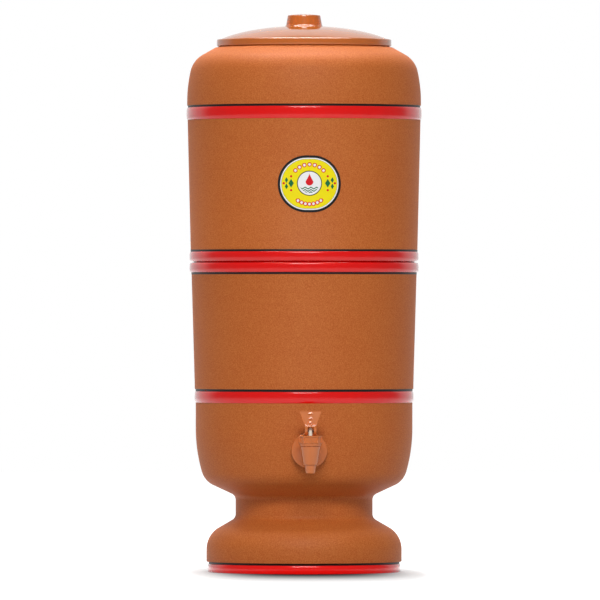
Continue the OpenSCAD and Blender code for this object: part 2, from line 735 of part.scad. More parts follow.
// Porous ceramic dome
module candle_shell() {
    color("white") translate([0, 0, shell_z]) difference() {
        union() {
            cylinder(r = candle_r, h = candle_h - candle_r);
            translate([0, 0, candle_h - candle_r]) sphere(r = candle_r);
        }
        translate([0, 0, -eps]) cylinder(r = candle_r - candle_t, h = candle_h - candle_r + eps);
        translate([0, 0, candle_h - candle_r]) sphere(r = candle_r - candle_t);
    }
}

// Plastic cup that carries the ceramic, with a threaded stem and an outlet
module candle_base() {
    color("aliceblue") difference() {
        union() {
            translate([0, 0, cup_z]) cylinder(r1 = cup_r - 3, r2 = cup_r, h = 3);
            translate([0, 0, cup_z + 3]) cylinder(r = cup_r, h = cup_floor + cup_depth - 3);
            translate([0, 0, thread_end_z]) cylinder(r = thread_r, h = cup_z - thread_end_z + eps);
        }
        translate([0, 0, shell_z]) cylinder(r = candle_r + seat_gap, h = cup_depth + eps);
        translate([0, 0, thread_end_z - eps]) cylinder(r = outlet_r, h = shell_z - thread_end_z + 2 * eps);
    }
}

// Block of active carbon
module candle_carbon() {
    color("black") translate([0, 0, shell_z])
        cylinder(r = candle_r - candle_t - seat_gap, h = carbon_h);
}

// Soft washer between cup and clay floor
module candle_gasket() {
    color("dimgray") washer(candle_washer_r, thread_r + thread_gap, upper_floor_z, candle_washer_t);
}

// Soft washer under the clay floor
module candle_lower_washer() {
    color("dimgray")
        washer(candle_washer_r, thread_r + thread_gap, upper_base_z - candle_washer_t, candle_washer_t);
}

// Wing nut on the candle's thread
module candle_wing_nut() {
    color("aliceblue") translate([0, 0, wing_z]) difference() {
        union() {
            cylinder(r = wing_hub_r, h = wing_h);
            translate([-wing_r, -wing_t / 2, 0]) cube([2 * wing_r, wing_t, wing_h * 0.8]);
        }
        translate([0, 0, -eps]) cylinder(r = thread_r + thread_gap, h = wing_h + 2 * eps);
    }
}

// Collar on the candle's thread, with two ears for the float's hinge
module float_bracket() {
    ear_y = hub_w / 2 + seat_gap;
    color("aliceblue") difference() {
        union() {
            translate([0, 0, bracket_z]) cylinder(r = bracket_r, h = bracket_h);
            for (s = [-1, 1]) translate([0, s * (ear_y + ear_t / 2), 0]) {
                translate([thread_r + 1, -ear_t / 2, bracket_z])
                    cube([hinge_x - thread_r - 1 + ear_r, ear_t, bracket_h]);
                translate([hinge_x - ear_r, -ear_t / 2, hinge_z])
                    cube([2 * ear_r, ear_t, bracket_z - hinge_z + eps]);
                translate([hinge_x, 0, hinge_z]) rotate([90, 0, 0])
                    cylinder(r = ear_r, h = ear_t, center = true);
            }
        }
        translate([0, 0, bracket_z - eps]) cylinder(r = thread_r + thread_gap, h = bracket_h + 2 * eps);
        translate([hinge_x, 0, hinge_z]) rotate([90, 0, 0])
            cylinder(r = hinge_pin_r + run_gap, h = 2 * (ear_y + ear_t) + 2 * eps, center = true);
    }
}

// Swings its children from the shut position to the hanging one
module hanging() {
    translate([hinge_x, 0, hinge_z]) rotate([0, -float_hang, 0]) translate([-hinge_x, 0, -hinge_z])
        children();
}

// Arm with hub, pad pocket and float peg
module float_arm() {
    color("aliceblue") hanging() difference() {
        union() {
            translate([hinge_x, 0, hinge_z]) rotate([90, 0, 0])
                cylinder(r = ear_r, h = hub_w, center = true);
            translate([-float_x, -hub_w / 2, arm_top_z - arm_t])
                cube([float_x + hinge_x, hub_w, arm_t]);
            translate([0, 0, arm_top_z - arm_t]) cylinder(r = arm_w / 2, h = arm_t);
            translate([-float_x, 0, arm_top_z - arm_t]) cylinder(r = arm_w / 2, h = arm_t);
            translate([-float_x, 0, float_top_z - float_h]) cylinder(r = peg_r, h = float_h + arm_t);
        }
        translate([hinge_x, 0, hinge_z]) rotate([90, 0, 0])
            cylinder(r = hinge_pin_r + run_gap, h = hub_w + 2 * eps, center = true);
        translate([0, 0, arm_top_z - pad_t / 2]) cylinder(r = pad_r + run_gap, h = pad_t);
    }
}

// Float on the arm's peg
module float_disc() {
    color("white") hanging() translate([-float_x, 0, float_top_z - float_h]) difference() {
        rotate_extrude() polygon(concat([[0, 0]],
            arc(float_r - float_round, float_round, float_round, -90, 0, 4),
            arc(float_r - float_round, float_h - float_round, float_round, 0, 90, 4),
            [[0, float_h]]));
        translate([0, 0, -eps]) cylinder(r = peg_r + thread_gap, h = float_h + 2 * eps);
    }
}

// Pin of the float's hinge
module float_hinge_pin() {
    color("silver") translate([hinge_x, 0, hinge_z]) rotate([90, 0, 0])
        cylinder(r = hinge_pin_r, h = hub_w + 2 * (seat_gap + ear_t), center = true);
}

// Soft pad that shuts the candle's outlet
module float_seal() {
    color("dimgray") hanging() translate([0, 0, arm_top_z - pad_t / 2]) cylinder(r = pad_r, h = pad_t);
}

lower_vessel();
upper_vessel();
lid();
front_label();
tap_body();
tap_bonnet();
tap_lever();
tap_stem();
tap_lever_pin();
tap_spring();
tap_seat_plug();
tap_gland_seal();
tap_outer_washer();
tap_inner_washer();
tap_nut();
candle_shell();
candle_base();
candle_carbon();
candle_gasket();
candle_lower_washer();
candle_wing_nut();
float_bracket();
float_arm();
float_disc();
float_hinge_pin();
float_seal();
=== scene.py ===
from math import cos, pi, radians, sin, sqrt

import bpy
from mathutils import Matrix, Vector


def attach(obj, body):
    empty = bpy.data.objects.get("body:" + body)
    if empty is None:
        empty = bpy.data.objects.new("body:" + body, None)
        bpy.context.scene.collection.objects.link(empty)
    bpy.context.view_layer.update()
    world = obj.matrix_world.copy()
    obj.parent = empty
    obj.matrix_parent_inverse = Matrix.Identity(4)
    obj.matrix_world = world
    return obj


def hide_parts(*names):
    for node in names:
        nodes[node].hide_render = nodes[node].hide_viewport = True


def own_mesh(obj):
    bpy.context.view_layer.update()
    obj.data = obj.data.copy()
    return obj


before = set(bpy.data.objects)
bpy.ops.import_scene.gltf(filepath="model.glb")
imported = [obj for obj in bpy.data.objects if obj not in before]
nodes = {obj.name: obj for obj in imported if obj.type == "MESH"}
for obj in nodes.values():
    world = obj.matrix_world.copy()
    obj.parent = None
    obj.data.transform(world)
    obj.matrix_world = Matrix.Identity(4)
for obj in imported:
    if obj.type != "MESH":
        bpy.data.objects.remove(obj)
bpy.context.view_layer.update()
bpy.ops.object.select_all(action="DESELECT")

# Camera. A long lens, level with the middle of the filter, stands more than ten metres off, so that
# upright lines stay parallel. The tap points a little to its right.
camera_data = bpy.data.cameras.new("camera")
camera = bpy.data.objects.new("camera", camera_data)
bpy.context.scene.collection.objects.link(camera)
bpy.context.scene.camera = camera
camera_data.sensor_width = 36
camera_data.lens = 652
camera_data.clip_end = 100
camera_turn = radians(-2.65)
camera_distance, camera_side, eye_z = 10.42, -0.0039, 0.2608
camera.location = (
    camera_distance * sin(camera_turn) + camera_side * cos(camera_turn),
    -camera_distance * cos(camera_turn) + camera_side * sin(camera_turn),
    eye_z,
)
camera.rotation_euler = (pi / 2, 0, camera_turn)


# Studio. A white floor and a white surround, two large soft boxes in front and above, the shadow that
# the lamps cast, and a soft shadow painted into the floor around the foot.
class Value:
    """A shader socket that takes part in sums: each operator adds a Math node."""

    def __init__(self, finish, socket):
        self.finish = finish
        self.socket = socket

    def math(self, operation, *terms):
        return self.finish.node("Math", {"operation": operation}, dict(enumerate(terms)))

    def __add__(self, other):
        return self.math("ADD", self, other)

    __radd__ = __add__

    def __mul__(self, other):
        return self.math("MULTIPLY", self, other)

    __rmul__ = __mul__

    def __sub__(self, other):
        return self.math("SUBTRACT", self, other)

    def __rsub__(self, other):
        return self.math("SUBTRACT", other, self)

    def __truediv__(self, other):
        return self.math("DIVIDE", self, other)

    def __rtruediv__(self, other):
        return self.math("DIVIDE", other, self)

    def __pow__(self, other):
        return self.math("POWER", self, other)

    def __abs__(self):
        return self.math("ABSOLUTE", self)

    def highest(self, other):
        return self.math("MAXIMUM", self, other)

    def lowest(self, other):
        return self.math("MINIMUM", self, other)

    def rise(self, low, high):
        """0 below low, 1 above high, smooth between."""
        settings = {"interpolation_type": "SMOOTHSTEP", "clamp": True}
        return self.finish.node("MapRange", settings, {0: self, 1: low, 2: high})

    def between(self, low, high, edge):
        """1 between low and high, with soft edges."""
        return self.rise(low - edge, low + edge) * (1 - self.rise(high - edge, high + edge))


class Finish:
    """A material on one Principled surface, or the world, built node by node."""

    def __init__(self, name, **constants):
        self.material = bpy.data.materials.new(name)
        self.material.use_nodes = True
        self.tree = self.material.node_tree
        self.surface = self.tree.nodes["Principled BSDF"]
        for socket, value in constants.items():
            self.surface.inputs[socket.replace("_", " ")].default_value = value
        self.place = self.node("TexCoord", output="Object")
        self.mm = self.scaled(1000, 1000, 1000)
        self.x, self.y, self.z = (self.node("SeparateXYZ", {}, {0: self.mm}, axis) for axis in "XYZ")

    def node(self, kind, settings=None, sockets=None, output=0):
        made = self.tree.nodes.new("ShaderNode" + kind)
        for key, value in (settings or {}).items():
            setattr(made, key, value)
        for key, value in (sockets or {}).items():
            self.feed(made.inputs[key], value)
        return Value(self, made.outputs[output])

    def feed(self, socket, value):
        if isinstance(value, Value):
            self.tree.links.new(value.socket, socket)
        elif isinstance(value, tuple) and len(value) == 3 and socket.type == "RGBA":
            socket.default_value = (*value, 1)
        else:
            socket.default_value = value

    def scaled(self, sx, sy, sz):
        """Object coordinates times a factor on each axis."""
        return self.node("VectorMath", {"operation": "MULTIPLY"}, {0: self.place, 1: (sx, sy, sz)})

    def noise(self, size, detail=2.0, stretch=(1, 1, 1)):
        """Noise from 0 to 1 whose blots are about size millimetres across, longer along the axes that are
        stretched."""
        scale = [1000 / size / s for s in stretch]
        sockets = {"Vector": self.scaled(*scale), "Scale": 1.0, "Detail": detail}
        return self.node("TexNoise", {}, sockets)

    def spots(self, size, low, high):
        """Scattered round spots, 1 in their middle, in cells of size millimetres."""
        cell = 1000 / size
        sockets = {"Vector": self.scaled(cell, cell, cell), "Scale": 1.0}
        distance = self.node("TexVoronoi", {}, sockets, "Distance")
        chance = self.node("TexVoronoi", {}, sockets, "Color")
        pick = self.node("SeparateColor", {}, {0: chance}, "Red")
        return (1 - distance.rise(0.08, 0.22)) * pick.rise(low, high)

    def mix(self, first, second, share):
        """Colour first where share is 0 and second where it is 1."""
        sockets = {0: share, 6: first, 7: second}
        return self.node("Mix", {"data_type": "RGBA"}, sockets, 2)

    def tone(self, colour, factor):
        """A colour made darker or lighter by a value."""
        sockets = {0: colour, "Scale": factor}
        return self.node("VectorMath", {"operation": "SCALE"}, sockets)

    def finish(self, colour, roughness, height, depth):
        """Joins the surface: depth is the height of the relief in millimetres."""
        self.feed(self.surface.inputs["Base Color"], colour)
        self.feed(self.surface.inputs["Roughness"], roughness)
        bump = self.node("Bump", {}, {"Strength": 1.0, "Distance": depth / 1000, "Height": height})
        self.feed(self.surface.inputs["Normal"], bump)
        return self.material


def soft_box(name, size, place, aim, watts):
    """A square soft box that faces a point."""
    data = bpy.data.lights.new(name, "AREA")
    data.shape = "RECTANGLE"
    data.size, data.size_y = size
    data.energy = watts
    lamp = bpy.data.objects.new(name, data)
    lamp.location = place
    lamp.rotation_euler = (Vector(aim) - Vector(place)).to_track_quat("-Z", "Y").to_euler()
    bpy.context.scene.collection.objects.link(lamp)


front_box_watts, top_box_watts = 380, 21
soft_box("front_box", (3.8, 1.5), (-0.25, -6.8, 4.86), (0, 0, 0.25), front_box_watts)
soft_box("top_box", (1.6, 0.6), (-0.3, 0.45, 2.4), (0, 0, 0.4), top_box_watts)

floor_r = 6
bpy.ops.mesh.primitive_circle_add(vertices=64, radius=floor_r, fill_type="NGON", location=(0, 0, 0))
floor = bpy.context.object
floor.name = "floor"
floor_paint = Finish("floor_paint", Roughness=1.0, Specular_IOR_Level=0.0, Emission_Strength=1.0)
ray_kinds = ("Camera", "Glossy", "Transmission")
shown = sum(floor_paint.node("LightPath", output="Is %s Ray" % kind) for kind in ray_kinds).lowest(1)
# A shadow is painted into the floor around the foot, in its colour and in its glow, for camera and
# reflected rays: darkest near the middle, gone further out, reaching far in front, less behind and
# narrowing to the sides.
side_reach, side_fading, front_reach, back_reach = 0.75, 6.3e-5, 0.43, 0.9
shadow_darkest, shadow_end, glow_start, full_glow = 32, 165, 150, 220
hidden_white, lit_white, glow_share = 0.62, 0.6, 0.5
aside = floor_paint.x * (side_reach + floor_paint.x * floor_paint.x * side_fading)
ahead = (floor_paint.y * -front_reach).highest(floor_paint.y * back_reach)
away_from_foot = (aside * aside + ahead * ahead) ** 0.5
painted_shadow = away_from_foot.rise(shadow_darkest, shadow_end)
floor_white = hidden_white + shown * (lit_white * painted_shadow - hidden_white)
floor_paint.feed(floor_paint.surface.inputs["Base Color"], floor_paint.tone((1, 1, 1), floor_white))
glow = shown * (glow_share * painted_shadow + glow_share * away_from_foot.rise(glow_start, full_glow))
floor_paint.feed(floor_paint.surface.inputs["Emission Color"], floor_paint.tone((1, 1, 1), glow))
floor.data.materials.append(floor_paint.material)


class Surround(Finish):
    """The world, built with the same expressions as a material."""

    def __init__(self, name):
        world = bpy.data.worlds.new(name)
        world.use_nodes = True
        bpy.context.scene.world = world
        self.tree = world.node_tree


surround = Surround("surround")
camera_ray, glossy_ray, through_ray = (
    surround.node("LightPath", output="Is %s Ray" % kind) for kind in ray_kinds
)
direction = surround.node("TexCoord", output="Generated")
back, high = (surround.node("SeparateXYZ", {}, {0: direction}, axis) for axis in "YZ")
aside = abs(surround.node("SeparateXYZ", {}, {0: direction}, "X"))
fill_everywhere, fill_behind, fill_in_front = 0.15, 0.28, 0.34
mirrored_room, mirrored_behind, mirrored_overhead = 0.3, 0.6, 16
behind = back.rise(0.3, 0.6) * (1 - high.rise(0.62, 0.74)) * (mirrored_behind + high * high)
overhead = back.between(-0.3, 0.42, 0.04) * high.rise(0.3, 0.5) * (1 - aside.rise(0.38, 0.5))
mirrored = mirrored_room + behind + overhead * mirrored_overhead
fill = fill_everywhere + fill_behind * back.rise(0.45, 0.85) + fill_in_front * (back * -1).rise(0.6, 0.95)
strength = fill + camera_ray * (1 - fill) + (glossy_ray + through_ray).lowest(1) * (mirrored - fill)
sky = surround.tree.nodes["Background"]
surround.feed(sky.inputs["Color"], (1, 1, 1))
surround.feed(sky.inputs["Strength"], strength)

bpy.context.scene.view_settings.view_transform = "Standard"


# Lower vessel. Red clay thrown on the wheel and fired unglazed, with a waist and a hollow foot. The
# raised bands are enamelled red and each has a line of black beside it.
def arc(x, z, r, start, end, count):
    """Points of an arc about (x, z), angles in degrees."""
    turns = [radians(start + (end - start) * i / count) for i in range(count + 1)]
    return [(x + r * cos(t), z + r * sin(t)) for t in turns]


def barrel(r, z, height, proud=1.05, count=14):
    """Side of a raised band: upright in the middle, rounded to the wall of radius r above and below."""
    points = []
    for i in range(count + 1):
        u = -cos(pi * i / count)
        points.append((r + proud * (1 - abs(u) ** 2.6) ** 0.45, z + height * (u + 1) / 2))
    return points


def trace(name, places):
    """Draws a line point by point, in metres, and stays in edit mode."""
    bpy.ops.object.select_all(action="DESELECT")
    bpy.ops.mesh.primitive_plane_add(size=0.001, location=places[0])
    piece = bpy.context.object
    piece.name = piece.data.name = name
    bpy.ops.object.mode_set(mode="EDIT")
    bpy.ops.mesh.select_mode(type="VERT")
    bpy.ops.mesh.merge(type="CENTER")
    for before, after in zip(places, places[1:]):
        bpy.ops.mesh.extrude_region_move(TRANSFORM_OT_translate={"value": after - before})
    bpy.ops.mesh.select_all(action="SELECT")
    return piece


def close_seams():
    """Joins points that coincide and drops edges that carry no face, in edit mode."""
    bpy.ops.mesh.select_all(action="SELECT")
    bpy.ops.mesh.remove_doubles(threshold=2e-6)
    bpy.ops.mesh.delete_loose(use_verts=True, use_edges=True, use_faces=False)
    bpy.ops.mesh.select_all(action="SELECT")


def settle():
    """Ends the edit: closes the seams and turns the faces outwards."""
    close_seams()
    bpy.ops.mesh.normals_make_consistent(inside=False)
    bpy.ops.object.mode_set(mode="OBJECT")
    bpy.ops.object.transform_apply(location=True, rotation=True, scale=True)


def turned(name, profile, steps=192, axis="Z", centre=(0, 0)):
    """Draws a profile of (radius, height) in millimetres and spins it into a solid. About Z the centre is
    (x, y), about Y it is (x, z) and about X it is (y, z)."""
    first, second = centre

    def at(radius, along):
        if axis == "Z":
            return Vector((first + radius, second, along)) / 1000
        if axis == "Y":
            return Vector((first + radius, along, second)) / 1000
        return Vector((along, first + radius, second)) / 1000

    piece = trace(name, [at(*point) for point in profile])
    direction = {"X": (1, 0, 0), "Y": (0, 1, 0), "Z": (0, 0, 1)}[axis]
    bpy.ops.mesh.spin(steps=steps, angle=2 * pi, center=at(0, 0), axis=direction)
    settle()
    return piece


def use(piece):
    """Makes a piece the only one selected and the active one."""
    bpy.ops.object.select_all(action="DESELECT")
    piece.select_set(True)
    bpy.context.view_layer.objects.active = piece


def apply(piece, kind, **settings):
    """Adds a modifier and applies it."""
    use(piece)
    modifier = piece.modifiers.new(kind.lower(), kind)
    for key, value in settings.items():
        setattr(modifier, key, value)
    bpy.ops.object.modifier_apply(modifier=modifier.name)


def combine(piece, operation, *others):
    """Cuts other pieces out of a piece, or adds them to it, and removes them."""
    for other in others:
        apply(piece, "BOOLEAN", object=other, operation=operation, solver="EXACT")
        bpy.data.objects.remove(other)


def paint(piece, material):
    """Gives a piece one material all over."""
    piece.data.materials.clear()
    piece.data.materials.append(material)


def dress(piece, body, material, replaced, angle=32):
    """Closes and smooths a finished piece, paints it and sets it on its body in a CAD node's place."""
    use(piece)
    bpy.ops.object.mode_set(mode="EDIT")
    close_seams()
    bpy.ops.object.mode_set(mode="OBJECT")
    bpy.ops.object.shade_smooth_by_angle(angle=radians(angle))
    paint(piece, material)
    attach(piece, body)
    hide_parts(replaced)


CLAY_DARK = (0.44, 0.081, 0.0085)
CLAY_LIGHT = (0.63, 0.196, 0.045)
RED = (0.84, 0.004, 0.003)
BLACK = (0.001, 0.001, 0.0015)


def painted_clay(name, bands, lines):
    """Fired clay with grain, grog and faint throwing lines, enamelled red on the bands and black on the
    lines;
    the red is painted lighter towards the foot, a painted sheen. The paint lies outside a cone that stands
    in the middle of the wall."""
    clay = Finish(name, Specular_IOR_Level=0.24, Coat_IOR=1.35, Coat_Roughness=0.12)
    cone_slope, cone_low_r, cone_high_r, brush_wobble, brush_edge = 0.045, 87.3, 87.5, 0.25, 0.12
    radius = clay.node("VectorMath", {"operation": "LENGTH"}, {0: clay.scaled(1000, 1000, 0)}, "Value")
    out = (radius - clay.z * cone_slope).rise(cone_low_r, cone_high_r)
    level = clay.z + (clay.noise(28, 1) - 0.5) * brush_wobble
    red = sum(level.between(low, high, brush_edge) for low, high in bands) * out
    black = sum(level.between(low, high, brush_edge) for low, high in lines) * out
    blotch = clay.noise(60, 2)
    grain = clay.noise(1.6, 3)
    fine = clay.noise(0.9, 1)
    rings = clay.noise(3.2, 2, stretch=(14, 14, 1))
    fired = (blotch * 0.1 + grain * 0.1 + rings * 0.06 + fine * 0.74).rise(0.2, 0.8)
    body = clay.mix(CLAY_DARK, CLAY_LIGHT, fired)
    body = clay.mix(body, CLAY_LIGHT, clay.spots(2.4, 0.55, 0.75) * 0.25)
    body = clay.mix(body, CLAY_DARK, clay.spots(1.7, 0.6, 0.8) * 0.25)
    # The red has a random tone and is painted lighter towards the foot, fading out by 60 mm up: a painted
    # sheen, strongest on the foot's band.
    enamel_with_painted_sheen = clay.tone(RED, 1.1 + clay.noise(9, 2) * 0.12 - clay.z.rise(9, 60) * 0.16)
    colour = clay.mix(clay.mix(body, enamel_with_painted_sheen, red), BLACK, black)
    painted = (red + black).lowest(1)
    clay.feed(clay.surface.inputs["Coat Weight"], 0.6 * red + 0.05 * black)
    rough = (0.52 + 0.12 * grain) * (1 - painted) + (0.13 + 0.06 * blotch) * red + 0.5 * black
    relief = (grain * 0.3 + fine * 0.45 + rings * 0.25) * (1 - painted) + clay.noise(5, 1) * 0.25 * painted
    return clay.finish(colour, rough, relief, 0.11)


wall = 10
foot_r, foot_low_r, foot_side, foot_round = 93.6, 91.4, 22, 24
waist_r, waist_round, waist_low, waist_high = 65.7, 6.5, 55.717, 69.25
belly_r, belly_round, belly_curve, belly_lean, belly_z = 103.9, 20, 150, 16.2, 137.797
round_x, round_z = 78.74, 101.53
belly_x = belly_r - belly_curve
rim_r, rim_z, rim_wall, joint_band_h = 107.9, 297.3, 108.7, 9
foot_band_high, foot_line_high = 8.12, 10.15
belly_band_low, belly_band_high, belly_line_high = 162.6, 173.5, 175.75
rim_line_low, rim_band_low = 285.35, 287.35
foot_slope, belly_slope = 30, 25
lower_floor, hollow_z, hollow_round = 91.964, 79.964, 8

outer = [(foot_r - wall, 0.6), (foot_r - wall + 0.6, 0)]
outer += [(foot_low_r - 0.3, 0)] + barrel(foot_low_r, 0.02, 8.08)
outer += [(foot_low_r + 0.1, 8.2), (foot_low_r + 0.1, 9.9), (foot_r - 0.7, 10.0), (foot_r - 0.2, 10.2)]
outer += [(foot_r, 10.8)]
outer += arc(foot_r - foot_round, foot_side, foot_round, 0, 90 - foot_slope, 14)
outer += arc(waist_r + waist_round, waist_low, waist_round, 270 - foot_slope, 180, 10)
outer += arc(waist_r + waist_round, waist_high, waist_round, 180, 90 + belly_slope, 10)
outer += arc(round_x, round_z, belly_round, belly_slope - 90, -belly_lean, 14)
outer += arc(belly_x, belly_z, belly_curve, -belly_lean, 0, 10)
outer += [(belly_r, 162.5)] + barrel(belly_r, belly_band_low, belly_band_high - belly_band_low)
outer += [(belly_r + 0.1, 173.6), (belly_r + 0.1, 175.4), (belly_r + 0.6, 175.5), (belly_r + 0.95, 175.9)]
outer += [(belly_r + 0.975, 180), (rim_r - 0.05, 284), (rim_r + 0.05, 285.6), (rim_r + 0.12, 285.7)]
outer += [(rim_r + 0.12, 287.3), (rim_wall - 0.3, 287.38)] + barrel(rim_wall, 287.4, joint_band_h)
outer += [(rim_r + 0.4, 296.5), (rim_r - 1, 296.7), (rim_r - 2, 297), (rim_r - 2.4, rim_z)]
inner = [(rim_r - wall + 0.6, rim_z), (rim_r - wall, 296.7), (rim_r - wall, 286.2)]
inner += arc(belly_x, belly_z, belly_curve - wall, 0, -belly_lean, 10)
inner += arc(round_x, round_z, belly_round - wall, -belly_lean, -90, 10)
inner += [(40, lower_floor), (0, lower_floor)]
under = [(0, hollow_z), (30, hollow_z)]
under += arc(waist_r - wall - hollow_round, hollow_z - hollow_round, hollow_round, 90, 0, 8)
under += arc(waist_r + waist_round, waist_low, waist_round + wall, 180, 270 - foot_slope, 10)
under += arc(foot_r - foot_round, foot_side, foot_round - wall, 90 - foot_slope, 0, 10)
lower_vessel = turned("clay_lower_vessel", under + outer + inner)

tap_z = 118
hole_r, seat_r, seat_y, inner_seat_r, inner_seat_y = 8.5, 13.8, -99.889, 14.156, -93.9
profile = [(0, -105), (seat_r, -105), (seat_r, seat_y), (hole_r, seat_y), (hole_r, inner_seat_y)]
profile += [(inner_seat_r, inner_seat_y), (inner_seat_r, -84), (0, -84)]
combine(lower_vessel, "DIFFERENCE", turned("tap_hole", profile, 64, "Y", (0, tap_z)))
lower_clay = painted_clay(
    "lower_clay",
    [(-1, foot_band_high), (belly_band_low, belly_band_high), (rim_band_low, rim_z + 1.7)],
    [(foot_band_high, foot_line_high), (belly_band_high, belly_line_high), (rim_line_low, rim_band_low)],
)
dress(lower_vessel, "lower", lower_clay, "lower_vessel")


# Upper vessel. The same clay, with a plain floor, a spigot that drops into the lower rim, a sloping
# shoulder and an open mouth. A hole through the floor takes the candle's stem.
upper_top_r, shoulder_r, mouth_r, mouth_z = 111.65, 112.1, 72, 504
spigot_r, upper_base, upper_floor, stem_hole = 96.5, 289.3, 301.3, 5.6
curve_x, curve_z, curve_r, curve_lean = shoulder_r - 133, 451.159, 133, 12.6
crest_x, crest_z, crest_r, crest_end = 85.475, 474.937, 24, 62
corner_r, corner_x = 12, 86.7
joint_band_high, joint_line_high = 307.1, 309.1
top_band_low, top_band_high, top_line_high = 433.4, 445.2, 447.2

outer = [(stem_hole, upper_base + 0.5), (stem_hole + 0.5, upper_base), (50, upper_base)]
outer += arc(spigot_r - 1, upper_base + 1, 1, -90, 0, 4)
outer += [(spigot_r, rim_z), (rim_r - 2.4, rim_z), (rim_r - 2, rim_z + 0.3), (rim_r - 1, rim_z + 0.6)]
outer += [(rim_r + 0.4, rim_z + 0.8)] + barrel(rim_wall, rim_z + 0.8, joint_band_h)
outer += [(rim_wall + 0.12, 307.2), (rim_wall + 0.12, 308.7), (rim_wall + 0.02, 308.9)]
outer += [(upper_top_r, top_band_low)] + barrel(upper_top_r, 433.459, 11.7)
outer += [(upper_top_r - 0.3, 445.3), (upper_top_r - 0.3, 446.7), (shoulder_r - 0.35, 446.96)]
outer += [(shoulder_r, 447.4)]
outer += arc(curve_x, curve_z, curve_r, 0, curve_lean, 10)
outer += arc(crest_x, crest_z, crest_r, curve_lean, crest_end, 14)
outer += [(85, 502.75), (83.2, 503.1), (82.3, 503), (82.1, 503.6), (82, mouth_z)]
outer += [(mouth_r + 1, mouth_z), (mouth_r + 0.3, mouth_z - 0.3), (mouth_r, mouth_z - 1)]
inner = [(mouth_r, 498.523)]
inner += arc(crest_x, crest_z, crest_r - wall, crest_end, curve_lean, 10)
inner += arc(curve_x, curve_z, curve_r - wall, curve_lean, 0, 8)
inner += arc(corner_x, upper_floor + corner_r, corner_r, 0, -90, 10)
inner += [(40, upper_floor), (stem_hole, upper_floor), (stem_hole, upper_base + 0.5)]
upper_vessel = turned("clay_upper_vessel", outer + inner)
upper_clay = painted_clay(
    "upper_clay",
    [(rim_z - 0.8, joint_band_high), (top_band_low, top_band_high)],
    [(joint_band_high, joint_line_high), (top_band_high, top_line_high)],
)
dress(upper_vessel, "upper", upper_clay, "upper_vessel")


# Lid. One moulding in terracotta plastic: a domed plate with a rim that laps the mouth, a hollow knob
# on a low ring, and a skirt that keeps it in the mouth.
def moulded(name, colour, rough, grain, depth, level=0.4):
    """Moulded plastic: a fine mould texture, slight clouding and an even gloss."""
    plastic = Finish(name, Specular_IOR_Level=level)
    fine = plastic.noise(grain, 2)
    cloud = plastic.noise(14, 2)
    shade = plastic.tone(colour, 0.93 + cloud * 0.1 + fine * 0.04)
    return plastic.finish(shade, rough + (fine - 0.5) * 0.1 + (cloud - 0.5) * 0.08, fine, depth)


knob_r, knob_top, ring_r = 16.9, 535, 17.8
lid_r, dome_r, skirt_r, lid_t = 83.7, 82.5, 70.8, 2.4
dome_low, dome_h, fullness = 5.6, 14, 0.86


def dome(start, end, drop=0, count=16):
    """Points of the domed plate between two radii."""
    points = []
    for i in range(count + 1):
        r = start + (end - start) * i / count
        flat = sqrt(1 - fullness**2)
        rise = dome_h * (sqrt(1 - (fullness * r / dome_r) ** 2) - flat) / (1 - flat)
        points.append((r, mouth_z + dome_low + rise - drop))
    return points


profile = [(0, knob_top), (5, 534.93), (9, 534.65), (12, 534.22), (14.4, 533.75)]
profile += arc(14.85, 533, 0.8, 72, 12, 6) + [(15.8, 532.3), (16.5, 528.4), (17.15, 524.8), (17.24, 524.35)]
profile += [(17.26, 524.3), (17.8, 523.8), (17.85, 523.6), (17.85, 523.4)]
profile += dome(ring_r + 0.5, 80.8) + dome(81, 81.5, count=1)
profile += [(82, 510.2), (82.4, 510.5), (82.75, 510.62), (82.95, 510.55), (83.58, 510.0), (83.68, 509.8)]
profile += [(lid_r, 509.4), (lid_r, 507.2)]
profile += arc(lid_r - 0.7, mouth_z + 0.7, 0.7, 0, -90, 5) + [(lid_r - lid_t, mouth_z)]
profile += dome(lid_r - lid_t, skirt_r, lid_t, 4)
profile += [(skirt_r, 495.4), (skirt_r - 0.4, 495), (skirt_r - lid_t + 0.4, 495), (skirt_r - lid_t, 495.4)]
profile += dome(skirt_r - lid_t, knob_r - lid_t, lid_t)
profile += [(knob_r - lid_t, 531.6), (knob_r - lid_t - 1, knob_top - lid_t), (0, knob_top - lid_t)]
lid = turned("moulded_lid", profile)
TERRACOTTA = (0.59, 0.154, 0.021)
lid_finish = moulded("lid_plastic", TERRACOTTA, 0.1, 0.8, 0.008, level=0.6)
dress(lid, "lid", lid_finish, "lid")


# Label. Printed film with round ends, glued to the upper wall: a black edge, a white line and a yellow
# field with a water drop over waves, green diamonds and rows of beads.
label = Finish("label_print", Specular_IOR_Level=0.3)
label_z, label_half, end_shift = 371, 27, 3
across, up = label.x, label.z - label_z
side = abs(across)
WHITE = (0.96, 0.96, 0.96)
YELLOW = (0.98, 0.83, 0.0)
LABEL_RED = (0.75, 0.004, 0.012)
GREEN = (0.0, 0.16, 0.045)


def away(x, z):
    """Distance of a point (x, z) from the origin."""
    return (x * x + z * z) ** 0.5


def ink(below, colour, distance):
    """Prints a colour where a distance is negative."""
    return label.mix(below, colour, 1 - distance.rise(-0.12, 0.12))


def beads(below, height, radius, step, limit):
    """A row of white-eyed red beads along an arc, above the centre where height is 1 and below where -1."""
    angle = label.node("Math", {"operation": "ARCTAN2"}, {0: across, 1: up * height})
    nearest = angle - label.node("Math", {"operation": "ROUND"}, {0: angle / step}) * step
    distance = away(nearest * radius, away(across, up) - radius) + abs(angle).rise(limit, limit + 0.01) * 9
    return ink(ink(below, LABEL_RED, distance - 2.1), WHITE, distance - 1.25)


